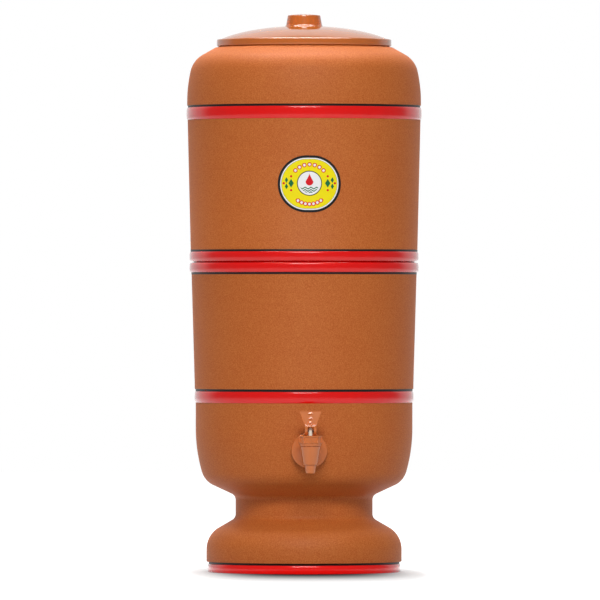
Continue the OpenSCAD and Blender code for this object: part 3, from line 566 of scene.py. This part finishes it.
edge = away((side - end_shift).highest(0), up) - label_half
disc_r, disc_rise = 11.9, 0.6
disc = away(across, up - disc_rise)
printed = ink(BLACK, WHITE, edge + 2.3)
printed = ink(printed, (0.01, 0.01, 0.01), edge + 3.4)
printed = ink(printed, YELLOW, edge + 3.65)
printed = beads(printed, 1, 18.4, 0.27, 0.95)
printed = beads(printed, -1, 19.2, 0.2, 0.72)
printed = ink(printed, BLACK, disc - disc_r)
printed = ink(printed, WHITE, disc - (disc_r - 0.8))
wave = label.node("Math", {"operation": "SINE"}, {0: across * 1.15}) * 0.7
for height in (-4.0, -6.2, -8.4):
    printed = ink(printed, GREEN, (abs(up - height - wave) - 0.55).highest(disc - (disc_r - 2.5)))
drop_rise, drop_h, drop_r = 2.2, 7.4, 3.7
taper = ((up - drop_rise) / drop_h).highest(0).lowest(1)
drop = away(across, (up - drop_rise).lowest(0)) - drop_r * (1 - taper) ** 1.15
printed = ink(printed, LABEL_RED, drop)
for x, z, wide, high in ((17.4, 0.6, 2.6, 4.2), (21.8, 3.6, 1.6, 2.8), (21.8, -2.4, 1.6, 2.8)):
    printed = ink(printed, GREEN, (abs(side - x) / wide + abs(up - z) / high - 1) * wide)
for x, z in ((17.4, 7.2), (17.4, -6.0), (24.3, 0.6)):
    printed = ink(printed, LABEL_RED, away(side - x, up - z) - 1.1)
film = label.noise(6, 2)
paint(nodes["front_label"], label.finish(printed, 0.3 + film * 0.1, film, 0.02))


# Tap body. One moulding in terracotta plastic: threaded shank, round flange, short neck, conical valve
# body with a collar, threaded throat and a tapered spout.
def thread(r, start, end, pitch, depth):
    """Crests and roots of a thread's outline along a shaft of radius r."""
    points = []
    for i in range(int(abs(end - start) / pitch)):
        z = start + i * pitch * (1 if end > start else -1)
        step = pitch / 4 * (1 if end > start else -1)
        points += [(r - depth, z), (r - depth, z + step), (r, z + 2 * step), (r, z + 3 * step)]
    return points


tap_y, flange_y, face_y, shank_end = -129.1, -104.6, -107.6, -81.9
shank_r, neck_r, flange_r, shank_pitch, throat_pitch = 7.9, 7, 16.9, 1.6, 1.2
profile = [(0, tap_y), (neck_r, tap_y)]
profile += arc(neck_r + 1.4, face_y - 1.4, 1.4, 180, 90, 6)
profile += [(15.6, face_y)] + arc(flange_r - 0.6, face_y + 0.6, 0.6, -90, 0, 5)
profile += [(flange_r, flange_y - 0.4), (flange_r - 0.4, flange_y), (shank_r, flange_y), (shank_r, -97)]
profile += thread(shank_r, -96.6, shank_end - 0.6, shank_pitch, 0.6)
profile += [(shank_r - 0.8, shank_end), (0, shank_end)]
tap_body = turned("moulded_tap_body", profile, 96, "Y", (0, tap_z))

spout_z, cone_z, collar_z, bonnet_z, gland_z = 96.4, 104.7, 122.6, 124.9, 129
profile = [(0, spout_z)] + arc(3.5, spout_z + 0.9, 0.9, -90, 0, 6)
profile += [(5.5, cone_z - 0.2), (5.7, cone_z), (6.3, cone_z)] + arc(6.3, cone_z + 0.45, 0.45, -90, 0, 4)
profile += [(9.7, collar_z - 0.7), (9.3, collar_z - 0.45), (9.3, collar_z), (10.3, collar_z)]
profile += arc(10.3, collar_z + 0.25, 0.25, -90, 0, 4) + [(10.6, bonnet_z - 0.5), (10.2, bonnet_z)]
profile += [(8.6, bonnet_z)] + thread(8.6, bonnet_z + 0.5, gland_z - 0.2, throat_pitch, 0.45)
profile += [(8.1, gland_z), (0, gland_z)]
valve = turned("valve", profile, 96, "Z", (0, tap_y))
combine(tap_body, "UNION", valve)
profile = [(0, 95.9), (3.45, 95.9), (3.0, 96.9), (3.0, cone_z), (2.5, cone_z), (2.5, 108.6), (3.7, 108.6)]
profile += [(3.7, 107.6), (5.4, 107.6), (5.4, 130), (0, 130)]
chamber = turned("chamber", profile, 64, "Z", (0, tap_y))
water_way = turned("water_way", [(0, tap_y), (3.8, tap_y), (3.8, -81), (0, -81)], 64, "Y", (0, tap_z))
combine(tap_body, "DIFFERENCE", chamber, water_way)
TAP = (0.67, 0.184, 0.043)
tap_finish = moulded("tap_plastic", TAP, 0.19, 0.7, 0.015, level=0.4)
dress(tap_body, "lower", tap_finish, "tap_body")


# Bonnet. The tap's screw cap, moulded in the same plastic with ten ribs and a sunk panel between each
# pair; the stem comes out through its top.
bonnet_r, bonnet_h, ribs = 11.6, 7.4, 10
middle = (0, tap_y / 1000, (bonnet_z + bonnet_h / 2) / 1000)
bpy.ops.object.select_all(action="DESELECT")
bpy.ops.mesh.primitive_cylinder_add(
    vertices=ribs, radius=bonnet_r / 1000, depth=bonnet_h / 1000, location=middle
)
bonnet = bpy.context.object
bonnet.name = bonnet.data.name = "moulded_tap_bonnet"
bpy.ops.object.transform_apply(location=True, rotation=True, scale=True)


def pick(piece, test):
    """Selects the faces whose centre and normal pass a test, in edit mode."""
    bpy.ops.object.mode_set(mode="EDIT")
    bpy.ops.mesh.select_mode(type="FACE")
    bpy.ops.mesh.select_all(action="DESELECT")
    bpy.ops.object.mode_set(mode="OBJECT")
    for face in piece.data.polygons:
        face.select = test(face.center * 1000, face.normal)
    bpy.ops.object.mode_set(mode="EDIT")


pick(bonnet, lambda centre, normal: abs(normal.z) < 0.1)
bpy.ops.mesh.inset(thickness=0.0006, depth=0, use_individual=True)
bpy.ops.transform.resize(value=(1, 1, 0.78), center_override=middle)
bpy.ops.mesh.inset(thickness=0.00015, depth=-0.0008, use_individual=True)
bpy.ops.object.mode_set(mode="OBJECT")
apply(bonnet, "BEVEL", width=0.0002, segments=2, limit_method="ANGLE", angle_limit=radians(25))
bore_r, stem_bore_r = 8.72, 1.95
profile = [(0, 124), (bore_r, 124)] + thread(9.1, 125.2, 130.2, throat_pitch, 0.38)
profile += [(bore_r, 130.5), (0, 130.5)]
combine(bonnet, "DIFFERENCE", turned("bore", profile, 64, "Z", (0, tap_y)))
profile = [(0, 130), (stem_bore_r, 130), (stem_bore_r, 132.1), (2.2, 132.6), (0, 132.6)]
combine(bonnet, "DIFFERENCE", turned("bore", profile, 48, "Z", (0, tap_y)))
dress(bonnet, "lower", tap_finish, "tap_bonnet", angle=20)


# Lever. A fork with a cam under each leg and a fan-shaped thumb plate with three raised grips, moulded in
# the same plastic. Pulled forward and down, it lifts the stem.
def drawn(name, outline, sweep):
    """Draws a flat outline of points (x, y, z) in millimetres, fills it and extrudes it by a vector."""
    piece = trace(name, [Vector(point) / 1000 for point in outline])
    bpy.ops.mesh.edge_face_add()
    bpy.ops.mesh.extrude_region_move(TRANSFORM_OT_translate={"value": Vector(sweep) / 1000})
    settle()
    return piece


pin_z, leg_w, leg_foot, throw, lift = 136.6, 5.4, 4.25, 75, 0.0314
fan_foot, fan_top, fan_half, fan_front, fan_back, fan_lean, front_lean = 5.4, 19, 10.5, 2.6, -0.2, 2, 2.8

# The cam's foot is an involute, so that each degree of tilt lifts the stem by the same height.
cam = []
for a in range(0, throw + 1, 5):
    s, reach = leg_foot + lift * a, lift * 180 / pi
    t = radians(a)
    cam.append((reach * cos(t) + s * sin(t), reach * sin(t) - s * cos(t)))
side_view = [(-3.2, 0.8 - leg_foot), (-2.95, 0.25 - leg_foot), (-2.4, -leg_foot)] + cam
side_view += [(cam[-1][0] + 0.1, cam[-1][1] + 1.2), (6.78, 4.6), (6.4, 5.1)]
side_view += [(fan_front, fan_foot), (fan_front - front_lean, fan_top), (fan_back - fan_lean, fan_top)]
side_view += [(fan_back, fan_foot), (-3.2, fan_foot - 3)]
front_view = [(leg_w, -6), (leg_w, fan_foot), (fan_half, fan_top - 0.8), (fan_half - 0.8, fan_top)]
front_view += [(-x, z) for x, z in reversed(front_view)]
lever = drawn("moulded_tap_lever", [(-12, tap_y - out, pin_z + up) for out, up in side_view], (24, 0, 0))
front = drawn("front", [(x, tap_y - 16, pin_z + z) for x, z in front_view], (0, 32, 0))
combine(lever, "INTERSECT", front)
slot = [(-2.95, -6), (2.95, -6), (2.95, 4.1), (-2.95, 4.1)]
slot = drawn("slot", [(x, tap_y - 16, pin_z + z) for x, z in slot], (0, 32, 0))
combine(lever, "DIFFERENCE", slot)
use(lever)
pick(lever, lambda centre, normal: normal.y < -0.95 and centre.z > pin_z + fan_foot + 1)
bpy.ops.mesh.inset(thickness=0.0008, depth=-0.00045)
bpy.ops.object.mode_set(mode="OBJECT")
apply(lever, "BEVEL", width=0.00025, segments=2, limit_method="ANGLE", angle_limit=radians(30))
ridge = [(-1.3, -0.75), (0.4, -0.75), (0.85, -0.5), (0.85, -0.3), (-0.5, 1.1), (-1.3, 1.1)]
for up, half in ((16.9, 2), (12.3, 1.9), (8.7, 1.3)):
    out = fan_front - front_lean * (up - fan_foot) / (fan_top - fan_foot)
    outline = [(-3, tap_y - out - along, pin_z + up + rise) for along, rise in ridge]
    grip = drawn("grip", outline, (6, 0, 0))
    oval = arc(0, 0, 1, 0, 345, 23)
    oval = [(half * x, tap_y - 8, pin_z + up + 0.12 + z) for x, z in oval]
    combine(grip, "INTERSECT", drawn("oval", oval, (0, 12, 0)))
    combine(lever, "UNION", grip)
groove = [(fan_front + 1, -0.2), (fan_front + 1, 0.2), (fan_front - 0.5, 0.2), (fan_front - 0.5, -0.2)]
groove = [(-8, tap_y - out, pin_z + fan_foot + rise) for out, rise in groove]
combine(lever, "DIFFERENCE", drawn("groove", groove, (16, 0, 0)))
pin_hole_r = 0.85
profile = [(0, -7), (pin_hole_r, -7), (pin_hole_r, 7), (0, 7)]
pin_hole = turned("pin_hole", profile, 32, "X", (tap_y, pin_z))
combine(lever, "DIFFERENCE", pin_hole)
dress(lever, "lever", tap_finish, "tap_lever", angle=20)


# Stem, its cross pin and its spring. The stem is turned from pale plastic; a steel pin, coloured almost
# black as painted shade for the slot in the lever, joins it to the lever and a steel spring presses it down
# on the seat. The float's hinge pin is of the same steel as the spring.
profile = [(0, 109.47), (1.0, 109.47), (1.4, 109.9), (1.4, 111.5), (4.1, 111.5), (4.4, 111.8), (4.4, 112.7)]
profile += [(4.1, 113), (2.3, 113)] + arc(2.3, 113.4, 0.4, 270, 180, 4)
profile += [(1.9, 120)] + arc(1.3, 139.3, 0.6, 0, 90, 5) + [(0, 139.9)]
stem = turned("turned_tap_stem", profile, 64, "Z", (0, tap_y))
profile = [(0, -3), (pin_hole_r, -3), (pin_hole_r, 3), (0, 3)]
pin_hole = turned("pin_hole", profile, 32, "X", (tap_y, pin_z))
combine(stem, "DIFFERENCE", pin_hole)
stem_plastic = moulded("stem_plastic", (0.93, 0.98, 0.84), 0.2, 0.5, 0.02)
dress(stem, "stem", stem_plastic, "tap_stem")

for material, tone, name in (
    # The lever pin's near-black tone is painted shade for the slot it sits in.
    ("blued_steel", (0.045, 0.04, 0.04), "tap_lever_pin"),
    ("steel", (0.42, 0.41, 0.40), "float_hinge_pin"),
):
    steel = Finish(material, Metallic=1.0)
    drawing = steel.noise(0.5, 2, stretch=(12, 1, 1))
    shade = steel.tone(tone, 0.9 + drawing * 0.15)
    steel_finish = steel.finish(shade, 0.22 + drawing * 0.14, drawing, 0.01)
    paint(nodes[name], steel_finish)

stem_head, coil_r, wire_r, coils, end_gap = 113, 3.3, 0.35, 6, 0.05
pitch = (gland_z - stem_head - 2 * wire_r - 2 * end_gap) / coils
bpy.ops.object.select_all(action="DESELECT")
bpy.ops.mesh.primitive_circle_add(
    vertices=12,
    radius=wire_r / 1000,
    location=(0, tap_y / 1000, (stem_head + wire_r + end_gap) / 1000),
    rotation=(pi / 2, 0, 0),
)
spring = bpy.context.object
spring.name = spring.data.name = "coiled_tap_spring"
bpy.ops.object.transform_apply(location=False, rotation=True, scale=False)
bpy.ops.object.mode_set(mode="EDIT")
bpy.ops.transform.translate(value=(coil_r / 1000, 0, 0))
bpy.ops.object.mode_set(mode="OBJECT")
apply(spring, "SCREW", screw_offset=pitch / 1000, iterations=coils, steps=36, render_steps=36)
bpy.ops.object.mode_set(mode="EDIT")
bpy.ops.mesh.select_all(action="SELECT")
bpy.ops.mesh.fill_holes(sides=0)
settle()
dress(spring, "valve_spring", steel_finish, "tap_spring")
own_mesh(spring)


# Tap seals. The seat plug is white rubber and pushed on the stem's nub; the gland ring and the two
# washers on the shank are grey rubber, cut or moulded with soft edges.
def rubber(name, colour):
    """Rubber: dull, with fine specks and a faint skin."""
    skin = Finish(name, Specular_IOR_Level=0.3)
    grain = skin.noise(0.6, 2)
    body = skin.tone(colour, 0.88 + grain * 0.2)
    body = skin.mix(body, tuple(c * 1.6 for c in colour), skin.spots(1.1, 0.7, 0.9) * 0.35)
    return skin.finish(body, 0.66 + grain * 0.16, grain, 0.05)


def soft_ring(name, r_out, r_in, low, high, axis="Z", centre=(0, 0), edge=0.35):
    """A washer with rounded edges."""
    profile = [(r_in, low + edge), (r_in + edge, low)] + arc(r_out - edge, low + edge, edge, -90, 0, 4)
    profile += arc(r_out - edge, high - edge, edge, 0, 90, 4) + [(r_in + edge, high), (r_in, high - edge)]
    return turned(name, profile + profile[:1], 96, axis, centre)


GREY = (0.055, 0.055, 0.058)
gland_r, outer_washer_r, inner_washer_r, shank_bore_r = 8.6, 13.5, 13.856, 8.02
outer_washer_edge, inner_washer_end = 0.8, -91.9
grey_rubber = rubber("grey_rubber", GREY)
profile = [(0, 108.61)] + arc(3.85, 108.95, 0.34, -90, 0, 4) + arc(3.85, 111.15, 0.35, 0, 90, 4)
profile += [(1.45, 111.5), (1.45, 109.42), (0, 109.42)]
plug = turned("soft_seat_plug", profile, 64, "Z", (0, tap_y))
white_rubber = rubber("white_rubber", (0.62, 0.61, 0.57))
dress(plug, "stem", white_rubber, "tap_seat_plug")
gland = soft_ring("soft_gland_seal", gland_r, stem_bore_r, gland_z, gland_z + 1.5, "Z", (0, tap_y))
dress(gland, "lower", grey_rubber, "tap_gland_seal")
outer_washer = soft_ring(
    "soft_outer_washer", outer_washer_r, shank_bore_r, flange_y, seat_y, "Y", (0, tap_z), outer_washer_edge
)
dress(outer_washer, "lower", grey_rubber, "tap_outer_washer")
inner_washer = soft_ring(
    "soft_inner_washer", inner_washer_r, shank_bore_r, inner_seat_y, inner_washer_end, "Y", (0, tap_z)
)
dress(inner_washer, "lower", grey_rubber, "tap_inner_washer")


# Nut. Six-sided, in the tap's plastic, with turned corners and a thread; it clamps the tap to the wall.
nut_r, nut_low, nut_high = 13.856, inner_washer_end, -84.9
bpy.ops.object.select_all(action="DESELECT")
bpy.ops.mesh.primitive_cylinder_add(
    vertices=6,
    radius=nut_r / 1000,
    depth=(nut_high - nut_low) / 1000,
    location=(0, (nut_low + nut_high) / 2000, tap_z / 1000),
    rotation=(pi / 2, pi / 6, 0),
)
nut = bpy.context.object
nut.name = nut.data.name = "moulded_tap_nut"
bpy.ops.object.transform_apply(location=True, rotation=True, scale=True)
profile = [(0, nut_low), (12.5, nut_low), (13.4, nut_low + 0.5), (nut_r + 0.1, nut_low + 1.3)]
profile += [(nut_r + 0.1, nut_high - 1.3), (13.4, nut_high - 0.5), (12.5, nut_high), (0, nut_high)]
combine(nut, "INTERSECT", turned("corners", profile, 96, "Y", (0, tap_z)))
profile = [(0, nut_low - 1), (9.3, nut_low - 1), (shank_bore_r, nut_low + 0.6)]
profile += thread(8.6, nut_low + 1, nut_high - 0.8, shank_pitch, 0.58)
profile += [(shank_bore_r, nut_high - 0.6), (9.3, nut_high + 1), (0, nut_high + 1)]
combine(nut, "DIFFERENCE", turned("bore", profile, 64, "Y", (0, tap_z)))
dress(nut, "lower", tap_finish, "tap_nut")


# Candle. A fired ceramic dome, white and porous, glued into a plastic cup over a block of pressed
# active carbon.
shell_z, candle_r, candle_top = 309.3, 25.5, 391.8
profile = [(18.5, shell_z + 0.4), (18.9, shell_z), (candle_r - 0.6, shell_z), (candle_r, shell_z + 0.6)]
profile += [(candle_r, 350)] + arc(0, candle_top, candle_r, 0, 90, 24)
profile += arc(0, candle_top, 18.5, 90, 0, 20) + profile[:1]
shell = turned("fired_candle_shell", profile, 96)
ceramic = Finish("candle_ceramic", Specular_IOR_Level=0.2)
pores = ceramic.spots(0.9, 0.5, 0.8)
clouds = ceramic.noise(12, 3)
bisque = ceramic.noise(0.7, 2)
body = ceramic.mix((0.80, 0.78, 0.72), (0.70, 0.67, 0.60), clouds.rise(0.35, 0.7))
body = ceramic.tone(body, 0.96 + bisque * 0.06 - pores * 0.12)
candle_ceramic = ceramic.finish(body, 0.82 + bisque * 0.1, bisque - pores, 0.08)
dress(shell, "upper", candle_ceramic, "candle_shell")

profile = [(0, shell_z), (17.4, shell_z), (18.25, shell_z + 0.8), (18.25, 374.4), (17.4, 375.3), (0, 375.3)]
block = turned("pressed_candle_carbon", profile, 96)
carbon = Finish("carbon", Specular_IOR_Level=0.4)
grit = carbon.noise(0.9, 3)
glint = carbon.spots(1.3, 0.7, 0.9)
body = carbon.mix((0.012, 0.012, 0.013), (0.035, 0.035, 0.037), grit.rise(0.4, 0.65))
body = carbon.mix(body, (0.11, 0.11, 0.115), glint)
pressed_carbon = carbon.finish(body, 0.85 - glint * 0.45, grit, 0.3)
dress(block, "upper", pressed_carbon, "candle_carbon")


# Candle's cup, washers and wing nut. White plastic: the cup's threaded stem passes the clay floor between
# two grey washers, and the wing nut pulls it down.
cup_z, cup_r, cup_top, thread_end = 303.3, 27.75, 316.3, 266.55
candle_thread_r, candle_bore_r, candle_pitch, washer_r = 5, 5.12, 1.5, 16
profile = [(2, thread_end + 0.3), (2.3, thread_end), (4.3, thread_end), (4.9, thread_end + 0.7)]
profile += thread(candle_thread_r, 267.6, 288, candle_pitch, 0.4)
profile += [(candle_thread_r, 289), (candle_thread_r, cup_z), (cup_r - 3.4, cup_z)]
profile += [(cup_r - 2.7, cup_z + 0.3), (cup_r - 0.3, cup_z + 2.7), (cup_r, cup_z + 3.4)]
profile += arc(cup_r - 0.6, cup_top - 0.6, 0.6, 0, 90, 4) + [(cup_r - 1.8, cup_top), (25.75, cup_top - 0.3)]
profile += [(25.75, shell_z + 0.3), (25.4, shell_z), (2.3, shell_z), (2, shell_z - 0.3)]
cup = turned("moulded_candle_base", profile + profile[:1], 96)
white_plastic = moulded("white_plastic", (0.74, 0.75, 0.76), 0.36, 0.6, 0.03)
dress(cup, "upper", white_plastic, "candle_base")
gasket = soft_ring("soft_candle_gasket", washer_r, candle_bore_r, upper_floor, cup_z)
dress(gasket, "upper", grey_rubber, "candle_gasket")
lower_washer = soft_ring("soft_candle_lower_washer", washer_r, candle_bore_r, upper_base - 2, upper_base)
dress(lower_washer, "upper", grey_rubber, "candle_lower_washer")

wing_z, hub_r, wing_r = 279.3, 9, 18
outline = [(-wing_r, wing_z + 1), (-wing_r + 1, wing_z), (wing_r - 1, wing_z), (wing_r, wing_z + 1)]
outline += arc(wing_r - 3, wing_z + 3.4, 3, 0, 90, 6) + [(hub_r, wing_z + 5.2)]
outline += [(-hub_r, wing_z + 5.2)] + arc(3 - wing_r, wing_z + 3.4, 3, 90, 180, 6)
wings = drawn("moulded_candle_wing_nut", [(x, -1.5, z) for x, z in outline], (0, 3, 0))
apply(wings, "BEVEL", width=0.0004, segments=2, limit_method="ANGLE", angle_limit=radians(50))
profile = [(0, wing_z), (hub_r - 0.5, wing_z), (hub_r, wing_z + 0.5), (hub_r - 0.3, wing_z + 7.3)]
profile += [(hub_r - 1, wing_z + 8), (0, wing_z + 8)]
combine(wings, "UNION", turned("hub", profile, 64))
profile = [(0, wing_z - 1), (6.2, wing_z - 1), (candle_bore_r, wing_z + 0.4)]
profile += thread(5.5, wing_z + 0.8, wing_z + 7.4, candle_pitch, 0.38)
profile += [(candle_bore_r, wing_z + 7.6), (6.2, wing_z + 9), (0, wing_z + 9)]
combine(wings, "DIFFERENCE", turned("bore", profile, 48))
dress(wings, "upper", white_plastic, "candle_wing_nut")


# Float valve's bracket. A collar screwed on the candle's stem, with two ears for the hinge, moulded in
# white plastic.
bracket_z, hinge_x, hinge_z, hinge_hole_r = 270.05, 14, 264.05, 1.1
ear_r, ear_y, ear_t = 3.6, 4.25, 2.2
profile = [(0, bracket_z), (7.9, bracket_z), (8.5, bracket_z + 0.6), (8.5, bracket_z + 8.4)]
profile += [(7.9, bracket_z + 9), (0, bracket_z + 9)]
bracket = turned("moulded_float_bracket", profile, 96)
outline = [(6, bracket_z + 9), (6, bracket_z), (hinge_x - ear_r, bracket_z)]
outline += arc(hinge_x, hinge_z, ear_r, 180, 360, 16)
outline += arc(hinge_x + ear_r - 1.5, bracket_z + 7.5, 1.5, 0, 90, 5)
for start in (ear_y, -ear_y - ear_t):
    ear = drawn("ear", [(x, start, z) for x, z in outline], (0, ear_t, 0))
    apply(ear, "BEVEL", width=0.0003, segments=2, limit_method="ANGLE", angle_limit=radians(50))
    combine(bracket, "UNION", ear)
profile = [(0, bracket_z - 1), (candle_bore_r, bracket_z - 1)]
profile += thread(5.5, bracket_z + 0.5, bracket_z + 8.6, candle_pitch, 0.38)
profile += [(candle_bore_r, bracket_z + 8.8), (candle_bore_r, bracket_z + 10), (0, bracket_z + 10)]
combine(bracket, "DIFFERENCE", turned("bore", profile, 48))
profile = [(0, -9), (hinge_hole_r, -9), (hinge_hole_r, 9), (0, 9)]
hinge_hole = turned("hole", profile, 32, "Y", (hinge_x, hinge_z))
combine(bracket, "DIFFERENCE", hinge_hole)
dress(bracket, "upper", white_plastic, "float_bracket")


# Float, its arm and its pad. The arm is white plastic and hangs from the hinge while the lower vessel
# fills; the float is pressed on its peg, and the grey pad in its pocket shuts the candle's outlet.
float_x, arm_top, arm_t, float_top, hang = -38, 265.05, 4, 260.8, 22
arm_low = arm_top - arm_t


def hanging(piece):
    """Swings a piece from the shut position down to where it hangs."""
    use(piece)
    hinge = (hinge_x / 1000, 0, hinge_z / 1000)
    bpy.ops.transform.rotate(value=radians(hang), orient_axis="Y", center_override=hinge)
    bpy.ops.object.transform_apply(location=True, rotation=True, scale=True)
    return piece


bar = [(x, y, arm_low) for x, y in ((hinge_x, -4), (hinge_x, 4), (float_x, 4), (float_x, -4))]
arm = drawn("moulded_float_arm", bar, (0, 0, arm_t))
apply(arm, "BEVEL", width=0.0006, segments=3, limit_method="ANGLE", angle_limit=radians(50))
hub = [(0, -4), (ear_r - 0.3, -4), (ear_r, -3.7), (ear_r, 3.7), (ear_r - 0.3, 4), (0, 4)]
boss = [(5.1, arm_low), (5.5, arm_low + 0.4), (5.5, arm_top - 0.4), (5.1, arm_top), (0, arm_top)]
peg = [(0, 240.8), (2.1, 240.8), (2.5, 241.2), (2.5, arm_low)]
combine(
    arm,
    "UNION",
    turned("hub", hub, 64, "Y", (hinge_x, hinge_z)),
    turned("pocket_boss", [(0, arm_low)] + boss, 64),
    turned("peg_boss", peg + boss, 64, "Z", (float_x, 0)),
)
pocket = turned("pocket", [(0, 263.8), (4.55, 263.8), (4.55, 267), (0, 267)], 64)
profile = [(0, -6), (hinge_hole_r, -6), (hinge_hole_r, 6), (0, 6)]
hinge_hole = turned("hole", profile, 32, "Y", (hinge_x, hinge_z))
combine(arm, "DIFFERENCE", pocket, hinge_hole)
dress(hanging(arm), "float", white_plastic, "float_arm")

low, high, float_r = float_top - 20, float_top, 20
profile = [(2.62, low + 0.4), (3, low)] + arc(float_r - 3, low + 3, 3, -90, 0, 8)
profile += [(float_r, low + 9.7), (float_r - 0.25, low + 9.85), (float_r - 0.25, low + 10.15)]
profile += [(float_r, low + 10.3)] + arc(float_r - 3, high - 3, 3, 0, 90, 8)
profile += [(3, high), (2.62, high - 0.4)]
disc_float = turned("moulded_float_disc", profile + profile[:1], 96, "Z", (float_x, 0))
dress(hanging(disc_float), "float", white_plastic, "float_disc")
pad = [(0, 263.8), (4.5, 263.8), (4.5, 265.9), (4.1, 266.3), (0, 266.3)]
pad = turned("soft_float_seal", pad, 64)
dress(hanging(pad), "float", grey_rubber, "float_seal")
